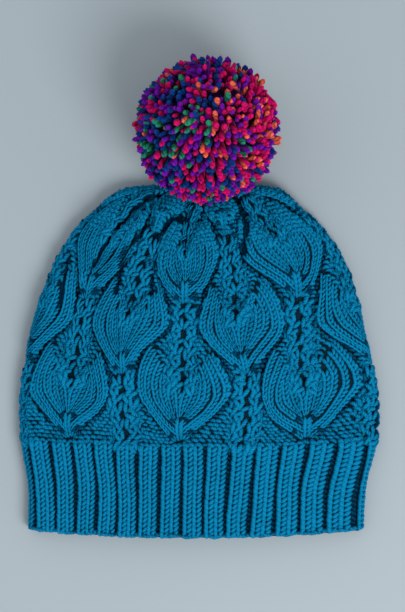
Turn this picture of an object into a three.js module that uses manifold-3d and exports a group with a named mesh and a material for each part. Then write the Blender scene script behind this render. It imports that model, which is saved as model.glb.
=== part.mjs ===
// A hand-knitted winter hat with a yarn pompom, lying flat on its back.
// Millimetres. X runs across the hat, +Y from the ribbed edge to the pompom, +Z up
// from the surface that it lies on. The origin is below the middle of its box.
// The hat is a flattened tube. A place on it is given by its turn, from 0 at the
// left fold across the front to 0.5 at the right fold and across the back to 1,
// and by its height above the ribbed edge, measured along the middle of the front.

import * as THREE from 'three';
import { mergeVertices } from 'three/addons/utils/BufferGeometryUtils.js';
import Module from 'manifold-3d';

// Driving dimensions of the knitting
const bandWidth = 207; // flat width of the ribbed edge
const crownWidth = 222; // flat width of the leaf pattern where it is widest
const bandHeight = 55; // ribbing, along the middle
const crownHeight = 165; // leaf pattern, from the ribbing to the gathered top
const bandDepth = 16; // both layers of the ribbing, with the air between them
const crownDepth = 28; // both layers of the leaf pattern where it stands highest
const wall = 4.2; // one layer of knitting
const foldRadius = 5.6; // roundness of the two side folds
const rimRound = 1.2; // how far the ribbed edge and the seam edges are rounded
const ribHeight = 1.9; // knit ribs above the purl valleys
const petalHeight = 3.4; // leaves above the lace between them
const gatherHeight = 1.6; // pleats round the gathered top
const gap = 0.3; // air between neighbouring pieces

// Pattern counts
const ribCount = 30;
const leafRepeats = 6;
const leafRows = 4;
const crownRowCount = 56;
const stitchCount = 4 * ribCount;
const gatherCount = 12;

const frontPull = 0.023; // how far the front's middle is pulled to the left, in turns
const sidePinch = 0.0112; // how far the front's sides are drawn to its middle, in turns

// Driving dimensions of the pompom
const pompomRadius = 43.5;
const pompomFlat = 2.2; // how far the pompom is pressed flat by its own weight
const pompomReach = 29.8; // its middle beyond the gathered top
const pompomAside = 4.4; // its middle to the right of the hat's
const lockCount = 42;
const lockLength = 8; // from the head to the cut ends
const lockWidth = 26; // where a lock is widest
const lockSides = 6;
const tieRadius = 3.2;
const tieSides = 10;
const pressedShares = [1, 0.96, 0.9, 0.8]; // heights on the crown that the pompom reaches over
const pressedPlaces = 24; // points round the hat at each of them
const tieInPompom = 12; // how deep the tie reaches into the pompom's head

// Sections of the ribbing. up and side are the heights of the middle and of the
// side folds, in shares of bandHeight. half is in shares of half the bandWidth,
// shift in shares of crownWidth and deep in shares of bandDepth.
const bandSections = [
  { up: 0.0, side: 0.08, half: 1.0, shift: -0.0095, deep: 0.97 },
  { up: 0.5, side: 0.58, half: 1.008, shift: -0.005, deep: 1.0 },
];

// Sections of the leaf pattern, in shares of crownHeight, of half the crownWidth,
// of crownWidth and of crownDepth.
const crownSections = [
  { up: 0.0, side: 0.026, half: 0.989, shift: 0.0, deep: 0.62 },
  { up: 0.128, side: 0.162, half: 0.998, shift: 0.0, deep: 0.82 },
  { up: 0.253, side: 0.291, half: 0.98, shift: 0.0, deep: 0.93 },
  { up: 0.381, side: 0.43, half: 0.938, shift: -0.003, deep: 1.0 },
  { up: 0.506, side: 0.574, half: 0.878, shift: 0.0, deep: 1.0 },
  { up: 0.63, side: 0.717, half: 0.798, shift: 0.003, deep: 0.97 },
  { up: 0.74, side: 0.834, half: 0.68, shift: 0.001, deep: 0.92 },
  { up: 0.815, side: 0.906, half: 0.57, shift: 0.001, deep: 0.85 },
  { up: 0.883, side: 0.97, half: 0.45, shift: 0.006, deep: 0.75 },
  { up: 0.932, side: 0.988, half: 0.33, shift: 0.013, deep: 0.64 },
  { up: 0.966, side: 0.996, half: 0.2, shift: 0.018, deep: 0.54 },
  { up: 0.988, side: 0.999, half: 0.09, shift: 0.02, deep: 0.46 },
  { up: 1.0, side: 1.0, half: 0.02, shift: 0.02, deep: 0.4 },
];

// Half outlines of one leaf. rows counts up from its base, outer and inner are in
// stitches from its middle. Above the notch the leaf parts into two petals.
const leafOutline = [
  { rows: 0, outer: 0.9, inner: 0 },
  { rows: 3, outer: 3.0, inner: 0 },
  { rows: 6, outer: 5.4, inner: 0 },
  { rows: 9, outer: 7.2, inner: 0 },
  { rows: 11.5, outer: 7.4, inner: 0.7 },
  { rows: 14.5, outer: 6.8, inner: 2.0 },
  { rows: 17.5, outer: 5.7, inner: 3.4 },
  { rows: 19.5, outer: 4.8, inner: 4.3 },
];
const leafBaseRow = 1.6; // rows from the ribbing to the base of the lowest leaves
const leafRise = 14.2; // rows from one line of leaves to the next

// Folds on the front. across runs from -1 at the left fold to 1 at the right one,
// up is in shares of crownHeight, wide in shares of crownWidth and deep in shares
// of the wall.
const folds = [
  { across: 0.34, up: 0.72, toAcross: 0.42, toUp: 0.82, wide: 0.022, deep: 0.58 },
  { across: 0.42, up: 0.82, toAcross: 0.49, toUp: 0.96, wide: 0.03, deep: 0.64 },
  { across: -0.71, up: 0.65, toAcross: -0.69, toUp: 0.79, wide: 0.017, deep: 0.5 },
  { across: -0.69, up: 0.79, toAcross: -0.63, toUp: 0.95, wide: 0.022, deep: 0.6 },
  { across: -0.37, up: 0.785, toAcross: -0.3, toUp: 0.86, wide: 0.02, deep: 0.58 },
  { across: -0.3, up: 0.86, toAcross: -0.1, toUp: 0.88, wide: 0.018, deep: 0.5 },
  { across: -0.305, up: 0.58, toAcross: -0.36, toUp: 0.7, wide: 0.015, deep: 0.42 },
  { across: -0.52, up: 0.57, toAcross: -0.53, toUp: 0.68, wide: 0.015, deep: 0.44 },
  { across: -0.53, up: 0.68, toAcross: -0.49, toUp: 0.79, wide: 0.017, deep: 0.52 },
  { across: -0.85, up: 0.47, toAcross: -0.93, toUp: 0.64, wide: 0.014, deep: 0.44 },
  { across: 0.02, up: 0.86, toAcross: 0.04, toUp: 0.96, wide: 0.016, deep: 0.4 },
];

// Outline of one lock. across is in shares of half the lockWidth and along in
// shares of the way from its root to its cut end.
const lockProfile = [
  { across: 0, along: 0 },
  { across: 1, along: 0.68 },
  { across: 0.66, along: 0.93 },
  { across: 0, along: 1 },
];

// How the locks differ: shares of their reach and width, with the steps of the
// sine that spreads the difference, and the turn from one lock to the next
const lockUneven = { reach: 0.05, reachStep: 5.1, width: 0.1, widthStep: 3.7, turnStep: 1.9 };

// How the flattened tube takes its shape
const crestPower = 1.3; // how fast the front's height falls off towards the sides
const roundShare = 0.9; // most of the half width that a side fold may take
const crestFade = 4; // half widths below this many fold radii have a lower crest
const drawnInShare = 0.4; // share of crownHeight over which the inside draws in
const sideEase = 0.8; // share of the relief that is stretched away at the side folds
const pressedFrom = 0.62; // relief is pressed flat below this many fold radii
const pressedTo = 0.2; // and wholly flat below this many
const normalTurn = 0.002; // steps over which the surface's direction is measured
const normalRise = 0.4;

// How a leaf rises from its ground and parts into two petals
const partedStitches = 1.2; // inner stitches at which the petals have parted
const petalSlope = 0.8;
const leafRiseRows = 4; // rows over which the base comes up
const leafSinkRows = 5; // rows over which the tips go down

// Shares of crownHeight at which the relief changes towards the gathered top
const leafFade = 0.8;
const pleatStart = 0.78;
const pleatFull = 0.92;
const pleatSink = 0.94;

const hatHeight = bandHeight + crownHeight;
const hatLength = hatHeight + pompomReach + pompomRadius;
const pompomAir = petalHeight / 2 + gatherHeight + gap; // from the hat's plain surface
const seamDepth = (bandDepth + crownSections[0].deep * crownDepth) / 2;

// Heights of both section tables in millimetres, from the ribbed edge
const sections = [
  ...bandSections.map((row) => ({
    up: row.up * bandHeight,
    side: row.side * bandHeight,
    half: (row.half * bandWidth) / 2,
    shift: row.shift * crownWidth,
    deep: row.deep * bandDepth,
  })),
  ...crownSections.map((row, i) => ({
    up: bandHeight + row.up * crownHeight,
    side: bandHeight + row.side * crownHeight,
    half: (row.half * crownWidth) / 2,
    shift: row.shift * crownWidth,
    deep: i === 0 ? seamDepth : row.deep * crownDepth,
  })),
];

// Smooth value of one column of a table at a place in its first column
function readTable(table, place, column, value) {
  const last = table.length - 1;
  let i = 0;
  while (i < last - 1 && value > table[i + 1][place]) i += 1;
  const a = table[i];
  const b = table[i + 1];
  const before = table[Math.max(i - 1, 0)];
  const after = table[Math.min(i + 2, last)];
  const span = b[place] - a[place];
  const t = Math.min(Math.max((value - a[place]) / span, 0), 1);
  const slopeA = ((b[column] - before[column]) / (b[place] - before[place])) * span;
  const slopeB = ((after[column] - a[column]) / (after[place] - a[place])) * span;
  const square = t * t;
  const cube = square * t;
  return (2 * cube - 3 * square + 1) * a[column] + (cube - 2 * square + t) * slopeA
    + (3 * square - 2 * cube) * b[column] + (cube - square) * slopeB;
}

// 0 at from and 1 at to, which may be the smaller of the two
function smoothStep(from, to, value) {
  return THREE.MathUtils.smoothstep((value - from) / (to - from), 0, 1);
}

// Outline of the flattened tube across one section, as x and z points at equal
// steps of length, from the left fold over the front to the back
const outlineSteps = 48;
const outlineCache = new Map();

function sectionOutline(half, radius, bulge) {
  const key = `${half.toFixed(4)} ${radius.toFixed(4)} ${bulge.toFixed(4)}`;
  if (outlineCache.has(key)) return outlineCache.get(key);
  const points = [];
  const flat = half - radius;
  const crest = (x) => bulge * Math.max(1 - (x / half) ** 2, 0) ** crestPower;
  const roundSteps = outlineSteps / 4;
  const add = (x, z) => points.push(new THREE.Vector2(x, z));
  for (let i = 0; i < roundSteps; i += 1) {
    const angle = (i / roundSteps) * (Math.PI / 2);
    const x = -flat - radius * Math.cos(angle);
    add(x, radius * Math.sin(angle) + crest(x));
  }
  for (let i = 0; i <= 2 * outlineSteps; i += 1) {
    const x = flat * (i / outlineSteps - 1);
    add(x, radius + crest(x));
  }
  for (let i = 1; i <= 2 * roundSteps; i += 1) {
    const angle = (i / roundSteps) * (Math.PI / 2);
    const x = flat + radius * Math.sin(angle);
    add(x, radius * Math.cos(angle) + (i < roundSteps ? crest(x) : 0));
  }
  for (let i = 1; i <= outlineSteps; i += 1) add(flat * (1 - (2 * i) / outlineSteps), -radius);
  for (let i = 1; i <= roundSteps; i += 1) {
    const angle = (i / roundSteps) * (Math.PI / 2);
    add(-flat - radius * Math.sin(angle), -radius * Math.cos(angle));
  }
  const reach = [0];
  for (let i = 1; i < points.length; i += 1) {
    reach.push(reach[i - 1] + points[i].distanceTo(points[i - 1]));
  }
  // the front and the back each hold half of the stitches
  const front = points.findIndex((point, i) => i > roundSteps && point.x >= half - 1e-9);
  const outline = { points, reach, front };
  outlineCache.set(key, outline);
  return outline;
}

function outlinePoint(outline, turn) {
  const { points, reach, front } = outline;
  const onFront = turn <= 0.5;
  const from = onFront ? 0 : reach[front];
  const to = onFront ? reach[front] : reach[reach.length - 1];
  const target = from + (to - from) * (onFront ? 2 * turn : 2 * turn - 1);
  let i = 1;
  while (i < reach.length - 1 && reach[i] < target) i += 1;
  const t = (target - reach[i - 1]) / (reach[i] - reach[i - 1]);
  return points[i - 1].clone().lerp(points[i], t);
}

// Turn at which a stitch lies, with the front pulled to the left
function turnOfStitch(stitch) {
  const turn = ((stitch / stitchCount) % 1 + 1) % 1;
  if (turn > 0.5) return turn;
  const across = 4 * turn - 1;
  return turn - frontPull * (1 - across ** 2) - sidePinch * across * (1 - across ** 4);
}

// A point of the hat's outer surface, or of its inner surface with an inset
function hatPoint(turn, up, inset = 0) {
  const half = readTable(sections, 'up', 'half', up) - inset;
  const side = readTable(sections, 'up', 'side', up);
  const shift = readTable(sections, 'up', 'shift', up);
  const deep = readTable(sections, 'up', 'deep', up);
  const radius = Math.min(foldRadius, roundShare * (half + inset)) - inset;
  const narrow = Math.min((half + inset) / (crestFade * foldRadius), 1);
  const bulge = Math.max(deep - 2 * foldRadius, 0) * narrow;
  const { x, y: z } = outlinePoint(sectionOutline(half, radius, bulge), turn);
  const across = x / half;
  const y = up + (side - up) * across * across;
  const drawnIn = inset * smoothStep(hatHeight - drawnInShare * crownHeight, hatHeight, y);
  return new THREE.Vector3(shift + x, y - drawnIn, foldRadius + z);
}

// Outward direction of the outer surface
function hatNormal(turn, up) {
  const low = Math.max(up - normalRise, 0);
  const high = Math.min(up + normalRise, hatHeight);
  const ahead = hatPoint((turn + normalTurn) % 1, up);
  const turnwise = ahead.sub(hatPoint((turn - normalTurn + 1) % 1, up));
  const upward = hatPoint(turn, high).sub(hatPoint(turn, low));
  return turnwise.cross(upward).normalize();
}

// How far the leaves stand out at a stitch and a row of the leaf pattern
function leafRelief(stitch, row) {
  const repeat = stitchCount / leafRepeats;
  const top = leafOutline[leafOutline.length - 1].rows;
  let relief = 0;
  for (let line = 0; line < leafRows; line += 1) {
    const rows = row - leafBaseRow - line * leafRise;
    if (rows <= 0 || rows >= top) continue;
    const middle = line % 2 === 0 ? repeat / 2 : 0;
    let off = (((stitch - middle) % repeat) + repeat) % repeat;
    off = Math.min(off, repeat - off);
    const outer = readTable(leafOutline, 'rows', 'outer', rows);
    const inner = readTable(leafOutline, 'rows', 'inner', rows);
    if (off >= outer || off <= inner) continue;
    const share = (off - inner) / (outer - inner);
    const dome = Math.sqrt(Math.max(4 * share * (1 - share), 0));
    const joined = smoothStep(partedStitches, 0, inner) * (1 - share) ** petalSlope;
    const risen = smoothStep(0, leafRiseRows, rows) * smoothStep(top, top - leafSinkRows, rows);
    relief = Math.max(relief, Math.max(dome, joined) * risen);
  }
  return relief * petalHeight;
}

// How far the folds sink the front in at a point
function foldRelief(across, up) {
  let sunk = 0;
  for (const fold of folds) {
    const start = new THREE.Vector2(fold.across * crownWidth / 2, fold.up * crownHeight);
    const end = new THREE.Vector2(fold.toAcross * crownWidth / 2, fold.toUp * crownHeight);
    const point = new THREE.Vector2(across * crownWidth / 2, up * crownHeight);
    const line = end.clone().sub(start);
    const t = Math.min(Math.max(point.clone().sub(start).dot(line) / line.lengthSq(), 0), 1);
    const distance = point.distanceTo(start.addScaledVector(line, t));
    sunk = Math.max(sunk, fold.deep * smoothStep(fold.wide * crownWidth, 0, distance));
  }
  return sunk * wall;
}

// Everything that stands out of or sinks into the leaf pattern
function crownRelief(stitch, up) {
  const share = (up - bandHeight) / crownHeight;
  const turn = turnOfStitch(stitch);
  const leaves = leafRelief(stitch, share * crownRowCount) * smoothStep(1, leafFade, share);
  const pleats = gatherHeight * Math.cos((2 * Math.PI * gatherCount * stitch) / stitchCount);
  const gathered = pleats * smoothStep(pleatStart, pleatFull, share)
    * smoothStep(1, pleatSink, share);
  const sunk = turn < 0.5 ? foldRelief(4 * turn - 1, share) : 0;
  return leaves + gathered - sunk;
}

// A point of the outer surface with its relief, pressed flat where it rests. What
// lies behind the highest relief by some depth stays that far above the surface.
function reliefPoint(stitch, up, relief, behind = 0) {
  const turn = turnOfStitch(stitch);
  const plain = hatPoint(turn, up);
  const normal = hatNormal(turn, up);
  const eased = relief * (1 - sideEase * Math.hypot(normal.x, normal.y));
  const point = plain.clone().addScaledVector(normal, eased);
  const pressed = smoothStep(pressedFrom * foldRadius, pressedTo * foldRadius, plain.z);
  point.z = THREE.MathUtils.lerp(point.z, Math.max(plain.z, 0) + behind, pressed);
  return point;
}

function innerPoint(stitch, up) {
  return hatPoint(turnOfStitch(stitch), up, wall);
}

// Rings of points joined into one closed body. Without poles the last ring joins
// the first, and a pole closes its end to one point.
function bodyFromRings(rings, firstPole, lastPole) {
  const around = rings[0].length;
  const positions = rings.flat().flatMap((point) => point.toArray());
  const faces = [];
  const joinRings = (a, b) => {
    for (let i = 0; i < around; i += 1) {
      const j = (i + 1) % around;
      faces.push(a + i, b + i, a + j, a + j, b + i, b + j);
    }
  };
  for (let k = 0; k + 1 < rings.length; k += 1) joinRings(k * around, (k + 1) * around);
  if (firstPole) {
    const pole = positions.length / 3;
    positions.push(...firstPole.toArray(), ...lastPole.toArray());
    const last = (rings.length - 1) * around;
    for (let i = 0; i < around; i += 1) {
      const j = (i + 1) % around;
      faces.push(pole, i, j, pole + 1, last + j, last + i);
    }
  } else {
    joinRings((rings.length - 1) * around, 0);
  }
  const geometry = new THREE.BufferGeometry();
  geometry.setAttribute('position', new THREE.Float32BufferAttribute(positions, 3));
  geometry.setIndex(faces);
  return geometry;
}

// The wall's edge, rounded half way between the outer and the inner surface
function edgeRing(stitches, up) {
  return stitches.map((stitch) => hatPoint(turnOfStitch(stitch), up, wall / 2));
}

// Points of one rib, in shares of the way from a valley's middle to the next, and
// whether they stand on the rib or lie in the valley
const ribPlaces = [
  { share: 0.09, stands: 0 },
  { share: 0.22, stands: 1 },
  { share: 0.78, stands: 1 },
  { share: 0.91, stands: 0 },
];

// Ribbing, which has a valley half a rib after the left fold
function ribbedBand() {
  const stitchesOfRib = stitchCount / ribCount;
  const places = [];
  for (let rib = 0; rib < ribCount; rib += 1) {
    for (const { share, stands } of ribPlaces) {
      places.push({ stitch: (rib + 0.5 + share) * stitchesOfRib, stands });
    }
  }
  const stitches = places.map((place) => place.stitch);
  const ring = (up, height) => places.map(
    ({ stitch, stands }) => reliefPoint(stitch, up, stands * height, (1 - stands) * height),
  );
  const top = bandHeight - gap / 2;
  const rings = [
    ring(top - rimRound, ribHeight),
    ring(bandHeight / 2, ribHeight),
    ring(rimRound, ribHeight),
    edgeRing(stitches, 0),
    stitches.map((stitch) => innerPoint(stitch, rimRound)),
    stitches.map((stitch) => innerPoint(stitch, top - rimRound)),
    edgeRing(stitches, top),
  ];
  return bodyFromRings(rings);
}

// Rings of the leaf pattern, from the gathered top down to the ribbing
const crownRingCount = 25;
const frontPlaces = 72; // points of a ring over the front, and over the back
const backPlaces = 24;
const topRingShare = 0.985;
const innerShares = [rimRound / crownHeight, 0.2, 0.45, 0.65, 0.8, 0.9]; // rings inside

function crownStitches() {
  const half = stitchCount / 2;
  const front = Array.from({ length: frontPlaces }, (_, i) => (i * half) / frontPlaces);
  const back = Array.from({ length: backPlaces }, (_, i) => half + (i * half) / backPlaces);
  return [...front, ...back];
}

function crownRingShare(k) {
  return topRingShare - (topRingShare - rimRound / crownHeight) * (k / crownRingCount);
}

function crownUp(share) {
  return bandHeight + gap / 2 + share * (crownHeight - gap / 2);
}

function crownRing(share) {
  const up = crownUp(share);
  return crownStitches().map((stitch) => reliefPoint(stitch, up, crownRelief(stitch, up)));
}

function ringMiddle(ring) {
  const middle = new THREE.Vector3();
  for (const point of ring) middle.add(point);
  return middle.divideScalar(ring.length);
}

function leafCrown() {
  const stitches = crownStitches();
  const rings = [];
  for (let k = 0; k <= crownRingCount; k += 1) rings.push(crownRing(crownRingShare(k)));
  rings.push(edgeRing(stitches, bandHeight + gap / 2));
  for (const share of innerShares) {
    rings.push(stitches.map((stitch) => innerPoint(stitch, crownUp(share))));
  }
  const outerPole = ringMiddle(rings[0]);
  outerPole.y = hatHeight - gap;
  const innerPole = ringMiddle(rings[rings.length - 1]);
  innerPole.y = hatHeight - 2 * wall;
  return bodyFromRings(rings, outerPole, innerPole);
}

// Solids for cutting and joining
const mergeDistance = 1e-4;
const wasm = await Module();
wasm.setup();

function toSolid(geometry) {
  const plain = geometry.clone();
  plain.deleteAttribute('normal');
  plain.deleteAttribute('uv');
  const merged = mergeVertices(plain, mergeDistance);
  return new wasm.Manifold(new wasm.Mesh({
    numProp: 3,
    vertProperties: new Float32Array(merged.attributes.position.array),
    triVerts: new Uint32Array(merged.index.array),
  }));
}

function toGeometry(solid) {
  const mesh = solid.getMesh();
  const geometry = new THREE.BufferGeometry();
  geometry.setAttribute('position', new THREE.BufferAttribute(mesh.vertProperties, 3));
  geometry.setIndex(new THREE.BufferAttribute(mesh.triVerts, 1));
  return geometry;
}

// Where the gathered top, the tie and the pompom meet
const gatheredTop = new THREE.Vector3(
  readTable(sections, 'up', 'shift', hatHeight), hatHeight, foldRadius,
);
const pompomMiddle = new THREE.Vector3(
  pompomAside, hatHeight + pompomReach, pompomRadius - pompomFlat,
);
const tieDirection = pompomMiddle.clone().sub(gatheredTop).normalize();

function tieGeometry(radius, start, length) {
  const geometry = new THREE.CylinderGeometry(radius, radius, length, tieSides);
  geometry.translate(0, length / 2, 0);
  geometry.applyQuaternion(
    new THREE.Quaternion().setFromUnitVectors(new THREE.Vector3(0, 1, 0), tieDirection),
  );
  const foot = gatheredTop.clone().addScaledVector(tieDirection, start);
  return geometry.translate(foot.x, foot.y, foot.z);
}

// The slanted tie starts where its rim clears the top, and ends in the pompom's head
const tieStart = 0.83 * tieRadius;
const headRadius = pompomRadius - lockLength;
const tieLength = pompomMiddle.distanceTo(gatheredTop) - headRadius + tieInPompom - tieStart;

// One lock of cut yarn, which spreads from its root to a rounded cut end
function lockGeometry(length, width) {
  const profile = lockProfile.map(
    ({ across, along }) => new THREE.Vector2((across * width) / 2, along * length),
  );
  return new THREE.LatheGeometry(profile, lockSides);
}

// Locks spread evenly over the head by turning each one on from the last
function pompom() {
  let solid = toSolid(new THREE.IcosahedronGeometry(headRadius, 2));
  const goldenTurn = Math.PI * (3 - Math.sqrt(5));
  const outward = new THREE.Vector3(0, 1, 0);
  const root = headRadius - lockLength;
  for (let i = 0; i < lockCount; i += 1) {
    const height = 1 - (2 * i + 1) / lockCount;
    const around = goldenTurn * i;
    const level = Math.sqrt(1 - height * height);
    const direction = new THREE.Vector3(level * Math.cos(around), level * Math.sin(around), height);
    const longer = 1 + lockUneven.reach * Math.sin(lockUneven.reachStep * i);
    const wider = 1 + lockUneven.width * Math.sin(lockUneven.widthStep * i);
    const lock = lockGeometry((pompomRadius - root) * longer, lockWidth * wider);
    lock.rotateY(lockUneven.turnStep * i);
    lock.translate(0, root, 0);
    lock.applyQuaternion(new THREE.Quaternion().setFromUnitVectors(outward, direction));
    solid = solid.add(toSolid(lock));
  }
  solid = solid.translate(pompomMiddle.toArray());
  const floorBlock = new THREE.BoxGeometry(4 * pompomRadius, 4 * pompomRadius, 2 * pompomRadius);
  floorBlock.translate(pompomMiddle.x, pompomMiddle.y, -pompomRadius);
  const socket = tieGeometry(tieRadius + gap, tieStart - gap, tieLength + 2 * gap);
  return toGeometry(solid.subtract(toSolid(floorBlock)).subtract(toSolid(hatTop()))
    .subtract(toSolid(socket)));
}

// The hat's top with room for its leaves and pleats, which the pompom is pressed in by
function hatTop() {
  const rings = pressedShares.map((share) => Array.from(
    { length: pressedPlaces },
    (_, i) => hatPoint(i / pressedPlaces, crownUp(share), -pompomAir),
  ));
  return bodyFromRings(rings, ringMiddle(rings[0]), ringMiddle(rings[rings.length - 1]));
}

function pompomTie() {
  return tieGeometry(tieRadius, tieStart, tieLength);
}

// Finishes
const yarn = new THREE.MeshStandardMaterial({ color: 0x0b5a86, roughness: 0.95, metalness: 0 });
const bandYarn = yarn.clone();
const pompomYarn = new THREE.MeshStandardMaterial({ color: 0x8a1c7a, roughness: 0.95, metalness: 0 });
const tieYarn = new THREE.MeshStandardMaterial({ color: 0x14406e, roughness: 0.95, metalness: 0 });

// The hat and its pompom, moved so that the origin is below the middle of the box
const hat = new THREE.Group();
hat.position.set(0, -hatLength / 2, 0);

function addPiece(name, geometry, material) {
  const mesh = new THREE.Mesh(geometry, material);
  mesh.name = name;
  hat.add(mesh);
}

addPiece('ribbed_band', ribbedBand(), bandYarn);
addPiece('leaf_crown', leafCrown(), yarn);
addPiece('pompom', pompom(), pompomYarn);
addPiece('pompom_tie', pompomTie(), tieYarn);

export default hat;
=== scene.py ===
"""A hand-knitted winter hat with a yarn pompom, lying flat on a pale surface.

Lengths inside the pattern code are millimetres and meshes are written in metres.
A place on the hat is given by its stitch, counted round from the left fold across
the front and the back, and by its height above the ribbed edge.
"""

import math
from collections import namedtuple

import bmesh
import bpy
import numpy as np
from bpy.props import FloatProperty, FloatVectorProperty, IntProperty, PointerProperty
from mathutils import Matrix, Vector


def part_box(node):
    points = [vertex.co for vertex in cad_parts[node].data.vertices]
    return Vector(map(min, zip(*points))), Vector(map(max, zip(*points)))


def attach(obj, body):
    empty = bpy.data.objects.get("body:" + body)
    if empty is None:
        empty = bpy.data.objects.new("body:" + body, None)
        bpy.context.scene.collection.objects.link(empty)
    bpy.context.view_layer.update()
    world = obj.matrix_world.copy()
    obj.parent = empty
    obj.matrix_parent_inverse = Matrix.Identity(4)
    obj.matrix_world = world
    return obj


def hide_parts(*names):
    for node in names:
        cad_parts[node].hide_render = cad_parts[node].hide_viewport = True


bl_info = {
    "name": "Knitted Bobble Hat",
    "version": (1, 0, 0),
    "blender": (4, 5, 0),
    "location": "3D View > Sidebar > Hat",
    "description": "Knits a ribbed hat with a leaf pattern and ties a pompom to its top",
    "category": "Object",
}

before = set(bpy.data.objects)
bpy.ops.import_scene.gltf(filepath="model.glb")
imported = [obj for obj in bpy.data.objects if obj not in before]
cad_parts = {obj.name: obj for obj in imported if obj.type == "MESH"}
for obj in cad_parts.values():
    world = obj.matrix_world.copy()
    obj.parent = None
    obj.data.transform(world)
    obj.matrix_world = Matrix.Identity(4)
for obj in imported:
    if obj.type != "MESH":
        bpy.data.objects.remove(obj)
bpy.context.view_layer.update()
MM = 0.001
BODY = "root"

# Counts of the knitting
RIBS = 30
STITCHES = 4 * RIBS
REPEAT = 20  # stitches from one leaf to the next
LEAF_LINES = 4
CROWN_ROWS = 56
LEAF_BASE_ROW = 1.6
LEAF_RISE = 14.2
GATHERS = 12
FRONT_PULL = 0.023  # how far the front's middle is pulled to the left, in turns
SIDE_PINCH = 0.0112  # how far the front's sides are drawn to its middle, in turns

# Sections of the ribbing and of the leaf pattern, in shares of each part's own
# height, half width and depth. shift is in shares of the crown's width.
Section = namedtuple("Section", "up side half shift deep")
BAND_SECTIONS = (
    Section(0.0, 0.08, 1.0, -0.0095, 0.97),
    Section(0.5, 0.58, 1.008, -0.005, 1.0),
)
CROWN_SECTIONS = (
    Section(0.0, 0.026, 0.989, 0.0, 0.62),
    Section(0.128, 0.162, 0.998, 0.0, 0.82),
    Section(0.253, 0.291, 0.98, 0.0, 0.93),
    Section(0.381, 0.43, 0.938, -0.003, 1.0),
    Section(0.506, 0.574, 0.878, 0.0, 1.0),
    Section(0.63, 0.717, 0.798, 0.003, 0.97),
    Section(0.74, 0.834, 0.68, 0.001, 0.92),
    Section(0.815, 0.906, 0.57, 0.001, 0.85),
    Section(0.883, 0.97, 0.45, 0.006, 0.75),
    Section(0.932, 0.988, 0.33, 0.013, 0.64),
    Section(0.966, 0.996, 0.2, 0.018, 0.54),
    Section(0.988, 0.999, 0.09, 0.02, 0.46),
    Section(1.0, 1.0, 0.02, 0.02, 0.4),
)

# Half outline of one leaf, in rows above its base and stitches from its middle
LeafRow = namedtuple("LeafRow", "rows outer inner")
LEAF_OUTLINE = (
    LeafRow(0, 0.9, 0),
    LeafRow(3, 3.0, 0),
    LeafRow(6, 5.4, 0),
    LeafRow(9, 7.2, 0),
    LeafRow(11.5, 7.4, 0.7),
    LeafRow(14.5, 6.8, 2.0),
    LeafRow(17.5, 5.7, 3.4),
    LeafRow(19.5, 4.8, 4.3),
)
LEAF_TOP = LEAF_OUTLINE[-1].rows

# Folds on the front, in shares of the half width, the crown's height, its width
# and the depth that a fold can have
Fold = namedtuple("Fold", "across up to_across to_up wide deep")
FOLDS = (
    Fold(0.34, 0.72, 0.42, 0.82, 0.022, 0.9),
    Fold(0.42, 0.82, 0.49, 0.96, 0.03, 1.0),
    Fold(-0.71, 0.65, -0.69, 0.79, 0.017, 0.75),
    Fold(-0.69, 0.79, -0.63, 0.95, 0.022, 0.95),
    Fold(-0.37, 0.785, -0.3, 0.86, 0.02, 0.9),
    Fold(-0.3, 0.86, -0.1, 0.88, 0.018, 0.7),
    Fold(-0.305, 0.58, -0.36, 0.7, 0.015, 0.55),
    Fold(-0.52, 0.57, -0.53, 0.68, 0.015, 0.6),
    Fold(-0.53, 0.68, -0.49, 0.79, 0.017, 0.8),
    Fold(-0.85, 0.47, -0.93, 0.64, 0.014, 0.6),
    Fold(0.02, 0.86, 0.04, 0.96, 0.016, 0.5),
)
FOLD_DEPTH = 5.6  # millimetres
SIDE_EASE = 0.8  # share of the relief that is stretched away at the side folds
GROOVE = 1.3  # stitches beside a leaf over which the ground is drawn in
GROOVE_DEPTH = 1.6  # millimetres
SHADE_REACH = 7  # grid steps over which a place is compared with those round it, for its painted light and shade
GRID_UPS = 441  # points of the surface's grid up the hat
GRID_STITCHES = 961  # and round it, with both ends counted
Eyelet = namedtuple("Eyelet", "off rows")
EYELETS = (Eyelet(1.75, 1.8), Eyelet(1.1, 4.2))  # at a leaf's foot, stitches and rows; they are drawn only as painted shade
EYELET_SHADE = 3.4  # painted shade in the eyelets: how much darker they are, as millimetres that they lie lower
FOLD_SHADE = 3.0  # painted shade in the folds: how much darker they are, as millimetres that they lie lower
SHADE_TONE = 0.42  # painted shade and light: how much darker a place is for each millimetre that it lies low, and lighter for each that it stands high


def length_setting(name, description, default, least):
    return FloatProperty(
        name=name, description=description, default=default, min=least, unit="LENGTH")


def colour_setting(name, description, default):
    return FloatVectorProperty(
        name=name, description=description, default=default, subtype="COLOR", size=3,
        min=0, max=1)


class HatSizes(bpy.types.PropertyGroup):
    """Sizes of the knitted hat"""

    band_width: length_setting("Band width", "Flat width of the ribbed edge", 0.207, 0.1)
    crown_width: length_setting(
        "Crown width", "Flat width of the leaf pattern at its widest", 0.222, 0.1)
    band_height: length_setting("Band height", "Height of the ribbing", 0.055, 0.01)
    crown_height: length_setting(
        "Crown height", "From the ribbing to the gathered top", 0.165, 0.05)
    band_depth: length_setting("Band depth", "Both layers of the ribbing", 0.016, 0.01)
    crown_depth: length_setting("Crown depth", "Both layers of the leaf pattern", 0.028, 0.012)
    wall: length_setting("Wall", "One layer of knitting", 0.0042, 0.002)
    fold_radius: length_setting(
        "Fold radius", "Roundness of the two side folds", 0.0056, 0.004)
    rib_height: length_setting("Rib height", "Knit ribs above the purl valleys", 0.0021, 0.0)
    petal_height: length_setting(
        "Petal height", "Leaves above the lace between them", 0.0036, 0.0)
    gather_height: length_setting(
        "Gather height", "Pleats round the gathered top", 0.0016, 0.0)
    yarn: length_setting("Yarn thickness", "Thickness of the knitted yarn", 0.0021, 0.0005)


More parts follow.
